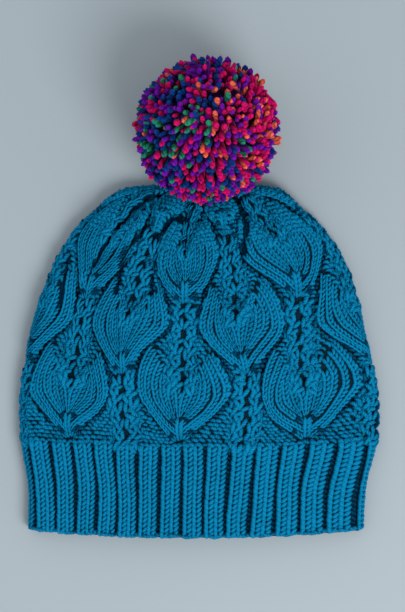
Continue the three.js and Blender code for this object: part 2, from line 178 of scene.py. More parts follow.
class PompomSizes(bpy.types.PropertyGroup):
    """Sizes of the pompom"""

    strands: IntProperty(
        name="Strands", description="Cut yarn ends that show", default=1500, min=100)
    strand_length: length_setting(
        "Strand length", "Length of each yarn end outside the core", 0.016, 0.004)
    strand_thickness: length_setting(
        "Strand thickness", "Thickness of the pompom yarn", 0.0035, 0.001)
    seed: IntProperty(
        name="Seed", description="Fixes the uneven lengths and the colours", default=7)


class YarnColours(bpy.types.PropertyGroup):
    """Colours of the yarns"""

    hat: colour_setting("Hat", "Teal blue yarn of the hat", (0.0025, 0.2, 0.39))
    # Hat shade is the hat yarn's colour painted as shade: between its plies, on its sides and in
    # hollows, folds and eyelets
    hat_shade: colour_setting(
        "Hat shade", "The same yarn between its plies", (0.0006, 0.027, 0.068))
    magenta: colour_setting("Magenta", "Pompom yarn", (0.78, 0.004, 0.15))
    purple: colour_setting("Purple", "Pompom yarn", (0.19, 0.006, 0.42))
    blue: colour_setting("Blue", "Pompom yarn", (0.003, 0.05, 0.27))
    green: colour_setting("Green", "Pompom yarn", (0.018, 0.29, 0.165))
    coral: colour_setting("Coral", "Pompom yarn", (1.0, 0.15, 0.085))


class StageSettings(bpy.types.PropertyGroup):
    """Surface, light and camera"""

    camera_height: length_setting("Camera height", "Camera above the surface", 1.3, 0.3)
    picture_width: length_setting(
        "Picture width", "What the picture spans at the hat", 0.2511, 0.1)
    key_power: FloatProperty(
        name="Key light", description="Power of the soft light at the lower right",
        default=17.0, min=0.0, unit="POWER")
    fill: FloatProperty(
        name="Fill", description="Strength of the even light", default=0.62, min=0.0)


# Reading the tables and the hat's surface


def read_table(rows, place, column, values):
    """Smooth values of one column of a table at places in another."""
    places = np.array([getattr(row, place) for row in rows], float)
    numbers = np.array([getattr(row, column) for row in rows], float)
    values = np.asarray(values, float)
    last = len(rows) - 1
    i = np.clip(np.searchsorted(places, values, side="left") - 1, 0, last - 1)
    before = np.maximum(i - 1, 0)
    after = np.minimum(i + 2, last)
    span = places[i + 1] - places[i]
    t = np.clip((values - places[i]) / span, 0, 1)
    slope_a = (numbers[i + 1] - numbers[before]) / (places[i + 1] - places[before]) * span
    slope_b = (numbers[after] - numbers[i]) / (places[after] - places[i]) * span
    square, cube = t * t, t * t * t
    return ((2 * cube - 3 * square + 1) * numbers[i] + (cube - 2 * square + t) * slope_a
            + (3 * square - 2 * cube) * numbers[i + 1] + (cube - square) * slope_b)


def smooth_step(start, end, value):
    """0 at start and 1 at end, which may be the smaller of the two."""
    t = np.clip((value - start) / (end - start), 0, 1)
    return t * t * (3 - 2 * t)


def turn_of_stitch(stitch):
    """Share of the way round at which a stitch lies."""
    turn = (np.asarray(stitch, float) / STITCHES) % 1.0
    across = 4 * turn - 1
    pulled = FRONT_PULL * (1 - across ** 2) + SIDE_PINCH * across * (1 - across ** 4)
    return np.where(turn <= 0.5, turn - pulled, turn)


def normalised(vectors):
    length = np.linalg.norm(vectors, axis=-1, keepdims=True)
    return vectors / np.maximum(length, 1e-9)


def outline_points(half, radius, bulge, steps=48):
    """Outline of the flattened tube across one section, in millimetres."""
    def crest(x):
        return bulge * np.maximum(1 - (x / half) ** 2, 0) ** 1.3

    flat = half - radius
    rounds = np.linspace(0, math.pi / 2, steps // 4 + 1)
    left_x = -flat - radius * np.cos(rounds[:-1])
    top_x = np.linspace(-flat, flat, 2 * steps + 1)
    right_x = flat + radius * np.sin(rounds[1:])
    under_x = flat + radius * np.cos(rounds[1:])
    back_x = np.linspace(flat, -flat, steps + 1)[1:]
    close_x = -flat - radius * np.sin(rounds[1:])
    x = np.concatenate([left_x, top_x, right_x, under_x, back_x, close_x])
    z = np.concatenate([
        radius * np.sin(rounds[:-1]) + crest(left_x),
        radius + crest(top_x),
        radius * np.cos(rounds[1:]) + crest(right_x),
        -radius * np.sin(rounds[1:]),
        np.full(len(back_x), -radius),
        -radius * np.cos(rounds[1:]),
    ])
    front = len(left_x) + len(top_x) + len(right_x) - 1
    return x, z, front


def leaf_bounds(rows):
    outer = read_table(LEAF_OUTLINE, "rows", "outer", rows)
    inner = read_table(LEAF_OUTLINE, "rows", "inner", rows)
    return outer, inner


def leaf_middle(line):
    """Stitch of the first leaf's middle in a line of leaves."""
    return REPEAT / 2 if line % 2 == 0 else 0.0


def off_leaf_middle(stitch, line):
    off = (np.asarray(stitch, float) - leaf_middle(line)) % REPEAT
    return np.minimum(off, REPEAT - off)


def leaf_lines(stitch, row):
    """For each line of leaves, rows above its bases and stitches from a leaf's middle."""
    for line in range(LEAF_LINES):
        yield row - LEAF_BASE_ROW - line * LEAF_RISE, off_leaf_middle(stitch, line)


def leaf_share(stitch, row):
    """How high the leaves stand at a stitch and a crown row, from 0 to 1."""
    relief = np.zeros(np.broadcast(stitch, row).shape)
    for rows, off in leaf_lines(stitch, row):
        outer, inner = leaf_bounds(rows)
        share = np.clip((off - inner) / (outer - inner), 0, 1)
        dome = np.sqrt(np.maximum(4 * share * (1 - share), 0))
        joined = (1 - share) ** 0.8
        parted = smooth_step(0, 1.2, inner)
        height = np.maximum(dome, joined)
        notch = smooth_step(inner - 1.1, inner + 0.9, off)
        height = height * (1 - parted * (1 - notch))
        height = height * smooth_step(0, 4, rows) * smooth_step(LEAF_TOP, LEAF_TOP - 5, rows)
        inside = (rows > 0) & (rows < LEAF_TOP) & (off < outer)
        relief = np.maximum(relief, np.where(inside, height, 0))
    return relief


def groove_share(stitch, row):
    """How far the ground is drawn in beside the leaves, from 0 to 1."""
    drawn = np.zeros(np.broadcast(stitch, row).shape)
    for rows, off in leaf_lines(stitch, row):
        outer, _ = leaf_bounds(rows)
        beside = smooth_step(outer + GROOVE, outer + 0.3 * GROOVE, off)
        beside = beside * smooth_step(outer - 0.3, outer + 0.1, off)
        beside = beside * smooth_step(1, 5, rows) * smooth_step(LEAF_TOP, LEAF_TOP - 3, rows)
        drawn = np.maximum(drawn, np.where((rows > 0) & (rows < LEAF_TOP), beside, 0))
    return drawn


def eyelet_share(stitch, row):
    """Where the eyelets at the leaves' feet are, from 0 to 1, for the painted shade in them."""
    share = np.zeros(np.broadcast(stitch, row).shape)
    for rows, off in leaf_lines(stitch, row):
        for eyelet in EYELETS:
            near = np.hypot((off - eyelet.off) / 0.42, (rows - eyelet.rows) / 0.75)
            share = np.maximum(share, smooth_step(1.5, 0.5, near))
    return share


def fold_share(across, up, half_width, height):
    """How deep the folds are at a place on the front, from 0 to 1."""
    sunk = np.zeros(np.broadcast(across, up).shape)
    for fold in FOLDS:
        start = np.array([fold.across * half_width, fold.up * height])
        line = np.array([fold.to_across * half_width, fold.to_up * height]) - start
        px, py = across * half_width - start[0], up * height - start[1]
        t = np.clip((px * line[0] + py * line[1]) / (line @ line), 0, 1)
        distance = np.hypot(px - t * line[0], py - t * line[1])
        depth = fold.deep * smooth_step(fold.wide * 2 * half_width, 0, distance)
        sunk = np.maximum(sunk, depth)
    return sunk


# How the knitting is pulled about: waves round the hat, the length of one along it,
# where it starts, and how far it reaches in stitches and in millimetres
Pull = namedtuple("Pull", "waves long start sideways upward")
PULLS = (
    Pull(5, 150, 0.4, 0.34, 1.2),
    Pull(8, -110, 2.1, 0.26, 0.9),
    Pull(13, 75, 4.4, 0.2, 0.6),
    Pull(3, -190, 5.2, 0.3, 1.1),
)


def blurred(values, reach):
    """Means of a grid over some steps each way, wrapped round the hat."""
    share = np.full(2 * reach + 1, 1 / (2 * reach + 1))
    rows = np.pad(values, ((reach, reach), (0, 0)), mode="edge")
    rows = np.apply_along_axis(np.convolve, 0, rows, share, mode="valid")
    wrapped = np.pad(rows[:, :-1], ((0, 0), (reach, reach + 1)), mode="wrap")
    return np.apply_along_axis(np.convolve, 1, wrapped, share, mode="valid")


class HatSurface:
    """The hat's outer surface as a grid of points over stitches and heights."""

    def __init__(self, sizes):
        scale = 1 / MM
        for name in ("band_height", "crown_height", "crown_width", "wall", "fold_radius",
                     "yarn", "rib_height", "petal_height", "gather_height"):
            setattr(self, name, getattr(sizes, name) * scale)
        self.height = self.band_height + self.crown_height
        self.rows = self._section_rows(sizes, scale)
        self.low_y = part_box("ribbed_band")[0].y * scale
        self.ups = np.linspace(0, self.height, GRID_UPS)
        self.stitches = np.linspace(0, STITCHES, GRID_STITCHES)
        self.plain = self._pulled(self.plain_grid(0.0))
        self.normals = self._grid_normals(self.plain)
        up, stitch = np.meshgrid(self.ups, self.stitches, indexing="ij")
        relief = self.relief(stitch, up)
        self.points = self._relief_grid(up, relief)
        self.relief_normals = self._soft_normals(self.points)
        # Painted light and shade: darker where a place lies below what is round it, in the folds
        # and in the eyelets, and lighter where it stands above it
        around = blurred(blurred(relief, SHADE_REACH), SHADE_REACH)
        folded = self._folded(stitch, (up - self.band_height) / self.crown_height)
        row = (up - self.band_height) / self.crown_height * CROWN_ROWS
        painted_light_and_shade = np.clip(relief - around, -2.2, 1.2) - FOLD_SHADE * folded
        painted_light_and_shade = painted_light_and_shade - EYELET_SHADE * eyelet_share(stitch, row)
        self.painted_light_and_shade = painted_light_and_shade[..., None]

    def _section_rows(self, sizes, scale):
        rows = []
        for row in BAND_SECTIONS:
            rows.append(Section(
                row.up * self.band_height, row.side * self.band_height,
                row.half * sizes.band_width * scale / 2, row.shift * self.crown_width,
                row.deep * sizes.band_depth * scale))
        for row in CROWN_SECTIONS:
            deep = row.deep * sizes.crown_depth * scale
            if row.up == 0:
                deep = (sizes.band_depth * scale + deep) / 2
            rows.append(Section(
                self.band_height + row.up * self.crown_height,
                self.band_height + row.side * self.crown_height,
                row.half * self.crown_width / 2, row.shift * self.crown_width, deep))
        return rows

    def plain_grid(self, inset):
        grid = np.zeros((len(self.ups), len(self.stitches), 3))
        turns = turn_of_stitch(self.stitches)
        turns[-1] = 1.0
        for k, up in enumerate(self.ups):
            half, side, shift, deep = (
                float(read_table(self.rows, "up", name, up))
                for name in ("half", "side", "shift", "deep"))
            radius = min(self.fold_radius, 0.9 * half) - inset
            bulge = max(deep - 2 * self.fold_radius, 0) * min(half / (4 * self.fold_radius), 1)
            x, z, front = outline_points(half - inset, radius, bulge)
            reach = np.concatenate([[0], np.cumsum(np.hypot(np.diff(x), np.diff(z)))])
            target = np.where(
                turns <= 0.5, 2 * turns * reach[front],
                reach[front] + (2 * turns - 1) * (reach[-1] - reach[front]))
            px = np.interp(target, reach, x)
            pz = np.interp(target, reach, z)
            across = px / (half - inset)
            y = up + (side - up) * across ** 2
            drawn_in = inset * smooth_step(self.height - 0.4 * self.crown_height, self.height, y)
            grid[k] = np.stack([shift + px, y - drawn_in + self.low_y, self.fold_radius + pz], 1)
        return grid

    def _pulled(self, grid):
        """The grid with the knitting pulled about unevenly, as handling leaves it."""
        up, stitch = np.meshgrid(self.ups, self.stitches, indexing="ij")
        share = smooth_step(self.band_height - 2, self.band_height + 14, up)
        share = share * smooth_step(self.height - 2, self.height - 30, up)
        sideways, upward = 0 * up, 0 * up
        for wave in PULLS:
            place = 2 * math.pi * (wave.waves * stitch / STITCHES + up / wave.long) + wave.start
            sideways = sideways + wave.sideways * np.sin(place)
            upward = upward + wave.upward * np.cos(place)
        return self.sample(grid, stitch + share * sideways, up + share * upward)

    def _grid_normals(self, grid, reach=1):
        inner = np.concatenate([grid[:, -1 - reach:-1], grid, grid[:, 1:1 + reach]], 1)
        around = inner[:, 2 * reach:] - inner[:, :-2 * reach]
        padded = np.concatenate([grid[:1].repeat(reach, 0), grid, grid[-1:].repeat(reach, 0)])
        upward = padded[2 * reach:] - padded[:-2 * reach]
        return normalised(np.cross(around, upward))

    def _soft_normals(self, grid):
        return normalised(self._grid_normals(grid, 3) + 0.8 * self.normals)

    def relief(self, stitch, up):
        """Everything that stands out of or sinks into the knitting, in millimetres."""
        share = (up - self.band_height) / self.crown_height
        from_rib = np.abs((stitch / 4.0 + 0.5) % 1.0 - 0.5) * 2
        ribs = self.rib_height * smooth_step(0.9, 0.6, from_rib)
        leaves = leaf_share(stitch, share * CROWN_ROWS)
        grooves = GROOVE_DEPTH * groove_share(stitch, share * CROWN_ROWS)
        leaves = self.petal_height * leaves - grooves * smooth_step(0.25, 0.0, leaves)
        leaves = leaves * smooth_step(1.0, 0.85, share)
        pleats = self.gather_height * np.cos(2 * math.pi * GATHERS * stitch / STITCHES)
        pleats = pleats * smooth_step(0.78, 0.92, share) * smooth_step(1.0, 0.94, share)
        sunk = FOLD_DEPTH * self._folded(stitch, share)
        in_band = smooth_step(0.034, -0.004, share)
        return in_band * ribs + (1 - in_band) * (leaves + pleats - sunk)

    def _folded(self, stitch, share):
        turn = turn_of_stitch(stitch)
        sunk = fold_share(4 * turn - 1, share, self.crown_width / 2, self.crown_height)
        return np.where(turn < 0.5, sunk, 0)

    def _relief_grid(self, up, relief):
        level = np.hypot(self.normals[..., 0], self.normals[..., 1])
        eased = relief * (1 - SIDE_EASE * level)
        points = self.plain + self.normals * eased[..., None]
        plain_z = self.plain[..., 2]
        pressed = smooth_step(0.62 * self.fold_radius, 0.2 * self.fold_radius, plain_z)
        share = (up - self.band_height) / self.crown_height
        behind = np.where(share < 0, self.rib_height, self.petal_height) - relief
        rest = np.maximum(plain_z, 0) + np.clip(behind, 0, self.petal_height) * 0.5
        points[..., 2] = points[..., 2] * (1 - pressed) + rest * pressed
        return points

    def sample(self, grid, stitch, up):
        """Values of a grid between its points."""
        i = np.clip(np.asarray(up, float) / self.height, 0, 1) * (len(self.ups) - 1)
        around = np.asarray(stitch, float) % STITCHES
        j = around / STITCHES * (len(self.stitches) - 1)
        i0 = np.minimum(i.astype(int), len(self.ups) - 2)
        j0 = np.minimum(j.astype(int), len(self.stitches) - 2)
        fi, fj = (i - i0)[..., None], (j - j0)[..., None]
        return ((grid[i0, j0] * (1 - fj) + grid[i0, j0 + 1] * fj) * (1 - fi)
                + (grid[i0 + 1, j0] * (1 - fj) + grid[i0 + 1, j0 + 1] * fj) * fi)

    def at(self, stitch, up):
        return self.sample(self.points, stitch, up)

    def outward(self, stitch, up):
        return normalised(self.sample(self.relief_normals, stitch, up))


# Yarn shapes


def placed(name, data):
    """An object of a mesh, a light or a camera, put in the scene."""
    made = bpy.data.objects.new(name, data)
    bpy.context.scene.collection.objects.link(made)
    return made


def smooth(mesh):
    mesh.polygons.foreach_set("use_smooth", [True] * len(mesh.polygons))


def yarn_piece(path, radii, sides, flatten=1.0):
    """Points and faces of one plump length of yarn along a few points."""
    path, radii = np.array(path, float), np.array(radii, float)
    ahead = normalised(np.gradient(path, axis=0))
    side = normalised(np.cross(ahead, np.array([0.0, 0.0, 1.0])))
    out = np.cross(side, ahead)
    angles = np.arange(sides) * 2 * math.pi / sides + math.pi / sides
    rings = [
        path[k] + radii[k] * (np.cos(angles)[:, None] * side[k]
                              + flatten * np.sin(angles)[:, None] * out[k])
        for k in range(len(path))
    ]
    points = np.concatenate([*rings, path[:1] - 0.35 * radii[0] * ahead[:1],
                             path[-1:] + 0.35 * radii[-1] * ahead[-1:]])
    faces, uvs = [], []
    last = len(path) - 1
    for k in range(last):
        for i in range(sides):
            j = (i + 1) % sides
            faces.append((k * sides + j, k * sides + i, (k + 1) * sides + i, (k + 1) * sides + j))
            u0, u1, v0, v1 = k / last, (k + 1) / last, i / sides, (i + 1) / sides
            uvs.append(((u0, v1), (u0, v0), (u1, v0), (u1, v1)))
    first_tip, last_tip = len(points) - 2, len(points) - 1
    for i in range(sides):
        j = (i + 1) % sides
        v0, v1 = i / sides, (i + 1) / sides
        faces.append((first_tip, i, j))
        uvs.append(((0, v0), (0, v0), (0, v1)))
        faces.append((last_tip, last * sides + j, last * sides + i))
        uvs.append(((1, v0), (1, v1), (1, v0)))
    return points, faces, uvs


def shape_object(name, pieces):
    """A small mesh of a few yarn pieces, in millimetres, that others are copied from."""
    points, faces, uvs, base = [], [], [], 0
    for piece_points, piece_faces, piece_uvs in pieces:
        points.append(piece_points)
        faces.extend(tuple(base + i for i in face) for face in piece_faces)
        uvs.extend(piece_uvs)
        base += len(piece_points)
    mesh = bpy.data.meshes.new(name)
    mesh.from_pydata((np.concatenate(points) * MM).tolist(), [], faces)
    layer = mesh.uv_layers.new(name="Yarn")
    layer.data.foreach_set("uv", np.array([uv for face in uvs for uv in face], np.float32).ravel())
    smooth(mesh)
    mesh.update()
    return placed(name, mesh)


# A knit stitch is a V of two legs: the left one runs on from row to row
KNIT_WIDTH = 4.5
KNIT_ROW = 2.93
LEFT_LEG = ((-0.9, -2.3, -0.75), (-1.15, -1.2, 0.1), (-1.3, 0.1, 0.35), (-1.32, 1.3, 0.1),
            (-1.2, 2.2, -0.7))
LEFT_RADII = (0.7, 1.0, 1.08, 1.0, 0.7)
RIGHT_LEG = ((-0.1, -1.9, -1.1), (0.45, -0.9, 0.0), (1.0, 0.1, 0.35), (1.5, 1.0, 0.1),
             (1.75, 1.7, -1.0))
RIGHT_RADII = (0.6, 0.95, 1.02, 0.9, 0.55)
PURL_BUMP = ((-1.9, -0.5, -0.9), (-0.95, 0.1, 0.15), (0.0, 0.35, 0.5), (0.95, 0.1, 0.15),
             (1.9, -0.5, -0.9))
PURL_RADII = (0.6, 1.02, 1.16, 1.02, 0.6)


def knit_shape(name, sides):
    return shape_object(name, [
        yarn_piece(LEFT_LEG, LEFT_RADII, sides), yarn_piece(RIGHT_LEG, RIGHT_RADII, sides)])


def purl_shape(name, sides):
    return shape_object(name, [yarn_piece(PURL_BUMP, PURL_RADII, sides)])


# Copying a shape to many places


def socket_id(tree, name):
    return next(item.identifier for item in tree.interface.items_tree if item.name == name)


def node_maker(tree):
    """Adds nodes and links by short calls."""
    def make(kind, inputs=None, **settings):
        node = tree.nodes.new(kind)
        for key, value in settings.items():
            setattr(node, key, value)
        for key, value in (inputs or {}).items():
            if isinstance(value, bpy.types.NodeSocket):
                tree.links.new(value, node.inputs[key])
            else:
                node.inputs[key].default_value = value
        return node
    return make


def add_sockets(tree, way, *sockets):
    """Adds a group's inputs or outputs by name, kind and, where it has one, default."""
    for name, kind, *default in sockets:
        socket = tree.interface.new_socket(name, in_out=way, socket_type="NodeSocket" + kind)
        if default:
            socket.default_value = default[0]


def copies_tree(name):
    """Nodes that put a copy of a shape on every point, turned and sized by the point."""
    tree = bpy.data.node_groups.new(name, "GeometryNodeTree")
    add_sockets(tree, "INPUT", ("Geometry", "Geometry"), ("Shape", "Object"),
                ("Finish", "Material"), ("Size", "Float", 1.0))
    add_sockets(tree, "OUTPUT", ("Geometry", "Geometry"))
    make = node_maker(tree)
    given = make("NodeGroupInput").outputs

    def attribute(label):
        return make("GeometryNodeInputNamedAttribute", {"Name": label},
                    data_type="FLOAT_VECTOR").outputs["Attribute"]

    def align(axis, pivot, **inputs):
        return make("FunctionNodeAlignRotationToVector", inputs, axis=axis,
                    pivot_axis=pivot).outputs["Rotation"]

    facing = align("Z", "AUTO", Vector=attribute("outward"))
    turned = align("Y", "Z", Vector=attribute("along"), Rotation=facing)
    sized = make("ShaderNodeVectorMath", {0: attribute("stretch"), "Scale": given["Size"]},
                 operation="SCALE")
    shape = make("GeometryNodeObjectInfo", {"Object": given["Shape"]})
    copies = make("GeometryNodeInstanceOnPoints", {
        "Points": given["Geometry"], "Instance": shape.outputs["Geometry"],
        "Rotation": turned, "Scale": sized.outputs["Vector"]})
    real = make("GeometryNodeRealizeInstances", {"Geometry": copies.outputs["Instances"]})
    finish = make("GeometryNodeSetMaterial", {
        "Geometry": real.outputs["Geometry"], "Material": given["Finish"]})
    make("NodeGroupOutput", {"Geometry": finish.outputs["Geometry"]})
    return tree


class Places:
    """Where the copies of one shape go: points with their directions and sizes."""

    def __init__(self):
        self.parts = {"at": [], "outward": [], "along": [], "stretch": [], "tone": []}
        self.colours = []

    def add(self, at, outward, along, stretch, tone, colours=None):
        for key, value in zip(self.parts, (at, outward, along, stretch, tone)):
            self.parts[key].append(np.asarray(value, float))
        if colours is not None:
            self.colours.append(np.asarray(colours, float))

    def copied(self, name, shape, material, tree):
        """The copies as one plain mesh."""
        values = {key: np.concatenate(part) for key, part in self.parts.items()}
        mesh = bpy.data.meshes.new(name + "_points")
        mesh.from_pydata((values["at"] * MM).tolist(), [], [])
        for key in ("outward", "along", "stretch"):
            mesh.attributes.new(key, "FLOAT_VECTOR", "POINT").data.foreach_set(
                "vector", values[key].astype(np.float32).ravel())
        mesh.attributes.new("tone", "FLOAT", "POINT").data.foreach_set(
            "value", values["tone"].astype(np.float32))
        if self.colours:
            colours = np.concatenate(self.colours)
            mesh.attributes.new("yarn_colour", "FLOAT_COLOR", "POINT").data.foreach_set(
                "color", np.c_[colours, np.ones(len(colours))].astype(np.float32).ravel())
        holder = placed(name + "_points", mesh)
        modifier = holder.modifiers.new("copies", "NODES")
        modifier.node_group = tree
        modifier[socket_id(tree, "Shape")] = shape
        modifier[socket_id(tree, "Finish")] = material
        modifier[socket_id(tree, "Size")] = 1.0
        depsgraph = bpy.context.evaluated_depsgraph_get()
        made = bpy.data.meshes.new_from_object(holder.evaluated_get(depsgraph))
        bpy.data.objects.remove(holder)
        bpy.data.meshes.remove(mesh)
        return made


def joined_piece(name, meshes, nodes, floor=0.0):
    """One finished piece of several meshes, pressed flat where it meets the surface."""
    objects = [placed(name, mesh) for mesh in meshes]
    piece = objects[0]
    if len(objects) > 1:
        with bpy.context.temp_override(
                active_object=piece, selected_editable_objects=objects):
            bpy.ops.object.join()
    piece.name = name
    points = np.zeros(len(piece.data.vertices) * 3, np.float32)
    piece.data.vertices.foreach_get("co", points)
    points[2::3] = np.maximum(points[2::3], floor)
    piece.data.vertices.foreach_set("co", points)
    piece.data.update()
    return finish_piece(piece, nodes)


def finish_piece(piece, nodes):
    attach(piece, BODY)
    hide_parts(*nodes)
    return piece


def remove_shapes(*shapes):
    for shape in shapes:
        mesh = shape.data
        bpy.data.objects.remove(shape)
        bpy.data.meshes.remove(mesh)


# Finishes


PLY_DEPTH = 0.55  # share of the yarn's relief that its plies make
FIBRE_DEPTH = 0.6  # and that the fibres on them make
LIT_TURN = 0.6  # radians by which the painted lightest line is moved round the yarn
SIDE_LEVEL = 0.75  # how high round the yarn its painted shaded sides end


def plied_yarn_group():
    """Twisted plies along a length of yarn, with wool fibres over them, and painted light and
    shade: darker between the plies, on the yarn's sides and towards a root, lighter along its top.
    """
    name = "Plied yarn"
    if name in bpy.data.node_groups:
        return bpy.data.node_groups[name]
    tree = bpy.data.node_groups.new(name, "ShaderNodeTree")
    add_sockets(tree, "INPUT", ("Along", "Vector"), ("Place", "Vector"), ("Tone", "Float"),
                ("Plies", "Float", 3.0), ("Slant", "Float", 1.6), ("Fibre scale", "Float", 900.0),
                ("Shaded sides", "Float", 0.0), ("Shaded root", "Float", 0.0),
                ("Light", "Color"), ("Dark", "Color"))
    add_sockets(tree, "OUTPUT", ("Color", "Color"), ("Height", "Float"))
    make = node_maker(tree)
    given = tree.nodes.new("NodeGroupInput").outputs
    done = tree.nodes.new("NodeGroupOutput").inputs
    axes = make("ShaderNodeSeparateXYZ", {"Vector": given["Along"]}).outputs

    def maths(operation, *inputs, **settings):
        return make("ShaderNodeMath", dict(enumerate(inputs)), operation=operation,
                    **settings).outputs[0]

    twist = maths("ADD", maths("MULTIPLY", axes["X"], given["Slant"]), axes["Y"])
    saw = maths("FRACT", maths("MULTIPLY", twist, given["Plies"]))
    ply = maths("SINE", maths("MULTIPLY", saw, math.pi))
    fibre = make("ShaderNodeTexNoise", {
        "Vector": given["Place"], "Scale": given["Fibre scale"], "Detail": 3.0, "Roughness": 0.65})
    soft = make("ShaderNodeTexNoise", {"Vector": given["Place"], "Scale": 160.0, "Detail": 2.0})
    # The plies and fibres as height, which drives the bump and darkens the colour between the plies
    # as painted shade
    height = maths("ADD", maths("MULTIPLY", ply, PLY_DEPTH),
                   maths("MULTIPLY", fibre.outputs["Fac"], FIBRE_DEPTH))
    toned = maths("ADD", height, given["Tone"])
    heather = maths("MULTIPLY_ADD", soft.outputs["Fac"], 0.35, -0.15)
    # Painted light and shade round the yarn: lighter along its top line, darker on its sides
    crown = maths("SINE", maths("MULTIPLY_ADD", axes["Y"], 2 * math.pi, LIT_TURN))
    shaded = maths("MULTIPLY_ADD", maths("SUBTRACT", crown, SIDE_LEVEL),
                   given["Shaded sides"], heather)
    # Painted shade towards a strand's root, added to the random heather
    heather_and_painted_shade = maths("MULTIPLY_ADD", maths("SUBTRACT", axes["X"], 1.0), given["Shaded root"], shaded)
    mask = maths("ADD", toned, heather_and_painted_shade, use_clamp=True)
    colour = make("ShaderNodeMix", {
        "Factor": mask, "A": given["Dark"], "B": given["Light"]}, data_type="RGBA")
    tree.links.new(colour.outputs["Result"], done["Color"])
    tree.links.new(height, done["Height"])
    return tree


def new_material(name, roughness):
    """A material with its shader, its maker of nodes and the place on the object."""
    material = bpy.data.materials.new(name)
    material.use_nodes = True
    make = node_maker(material.node_tree)
    shader = material.node_tree.nodes["Principled BSDF"]
    shader.inputs["Roughness"].default_value = roughness
    return material, shader, make, make("ShaderNodeTexCoord").outputs["Object"]


def colour_and_bump(material, shader, colour, bump):
    """Leads a colour and a bump to the shader."""
    material.node_tree.links.new(colour, shader.inputs["Base Color"])
    material.node_tree.links.new(bump.outputs["Normal"], shader.inputs["Normal"])
    return material


def yarn_material(name, light, dark, plies=3.0, fibre_scale=900.0, colour_attribute=None,
                  sheen=0.2, sheen_tint=(0.0, 0.45, 0.8), shaded_sides=0.0, shaded_root=0.0):
    """Plied wool yarn. light is the yarn's colour, and dark is the colour painted as shade between
    its plies, on its sides and in hollows.
    """
    material, shader, make, place = new_material(name, 0.9)
    tree = material.node_tree
    shader.inputs["Specular IOR Level"].default_value = 0.02
    shader.inputs["Sheen Weight"].default_value = sheen
    shader.inputs["Sheen Roughness"].default_value = 0.5
    shader.inputs["Sheen Tint"].default_value = (*sheen_tint, 1)
    along = make("ShaderNodeUVMap", uv_map="Yarn").outputs["UV"]
    tone = make("ShaderNodeAttribute", attribute_name="tone").outputs["Fac"]
    yarn = make("ShaderNodeGroup", node_tree=plied_yarn_group())
    for label, source in (("Along", along), ("Place", place), ("Tone", tone)):
        tree.links.new(source, yarn.inputs[label])
    for label, value in (("Plies", plies), ("Fibre scale", fibre_scale),
                         ("Shaded sides", shaded_sides), ("Shaded root", shaded_root)):
        yarn.inputs[label].default_value = value
    if colour_attribute:
        own = make("ShaderNodeAttribute", attribute_name=colour_attribute).outputs["Color"]
        # The darker colour is the strand's own colour, dimmed as painted shade between its plies
        # and towards its root
        shade = make("ShaderNodeMix", {"Factor": 1.0, "A": own, "B": (0.12, 0.1, 0.14, 1)},
                     data_type="RGBA", blend_type="MULTIPLY")
        tree.links.new(own, yarn.inputs["Light"])
        tree.links.new(shade.outputs["Result"], yarn.inputs["Dark"])
    else:
        yarn.inputs["Light"].default_value = (*light, 1)
        yarn.inputs["Dark"].default_value = (*dark, 1)
    bump = make("ShaderNodeBump", {"Strength": 0.55, "Distance": 0.0005,
                                   "Height": yarn.outputs["Height"]})
    return colour_and_bump(material, shader, yarn.outputs["Color"], bump)


def backing_material(name, light, dark):
    """The reverse of the knitting, which shows between the stitches and inside, painted darker in
    the hollows between its bumps as shade.
    """
    material, shader, make, place = new_material(name, 0.92)
    shader.inputs["Specular IOR Level"].default_value = 0.15
    bumps = make("ShaderNodeTexVoronoi", {"Vector": place, "Scale": 380.0},
                 feature="SMOOTH_F1")
    bumps.inputs["Smoothness"].default_value = 0.6
    fibre = make("ShaderNodeTexNoise", {"Vector": place, "Scale": 1100.0, "Detail": 3.0})
    height = make("ShaderNodeMath", {0: bumps.outputs["Distance"], 1: -0.9,
                                     2: fibre.outputs["Fac"]}, operation="MULTIPLY_ADD")
    # Painted shade: darker in the hollows between the bumps
    mask = make("ShaderNodeMath", {0: height.outputs[0], 1: 0.45}, operation="ADD", use_clamp=True)
    colour = make("ShaderNodeMix", {"Factor": mask.outputs[0], "A": (*dark, 1), "B": (*light, 1)},
                  data_type="RGBA")
    bump = make("ShaderNodeBump", {"Strength": 0.8, "Distance": 0.0012,
                                   "Height": height.outputs[0]})
    return colour_and_bump(material, shader, colour.outputs["Result"], bump)


def surface_material():
    """The pale surface that the hat lies on."""
    material, shader, make, place = new_material("Pale surface", 0.75)
    cloud = make("ShaderNodeTexNoise", {"Vector": place, "Scale": 2.5, "Detail": 2.0})
    grain = make("ShaderNodeTexNoise", {"Vector": place, "Scale": 420.0, "Detail": 4.0})
    colour = make("ShaderNodeMix", {
        "Factor": cloud.outputs["Fac"], "A": (0.335, 0.39, 0.425, 1), "B": (0.365, 0.42, 0.45, 1)},
        data_type="RGBA")
    bump = make("ShaderNodeBump", {"Strength": 0.12, "Distance": 0.0004,
                                   "Height": grain.outputs["Fac"]})
    return colour_and_bump(material, shader, colour.outputs["Result"], bump)


def times(colour, share):
    """A darker colour of the same hue."""
    return [share * part for part in colour]


def cloth_finishes(part, stitches):
    """The painted shade on a cloth's outer side, between the stitches, and the finish of its
    inside.
    """
    colours = bpy.context.scene.hat_colours
    reverse = backing_material("Reverse of the " + part, times(colours.hat, 0.6),
                               times(colours.hat_shade, 0.5))
    # A near-black sheet of painted shade between the stitches
    shade = backing_material("Shade between the " + stitches, times(colours.hat, 0.12),
                             times(colours.hat, 0.04))
    return shade, reverse


# Laying stitches on the hat


_kept = {}


def kept(name, make, *given):
    """What is made once and used by several pieces."""
    if name not in _kept:
        _kept[name] = make(*given)
    return _kept[name]


def hat_surface():
    return kept("surface", HatSurface, bpy.context.scene.hat_sizes)


def tree_for_copies():
    return kept("tree", copies_tree, "Copies on points")


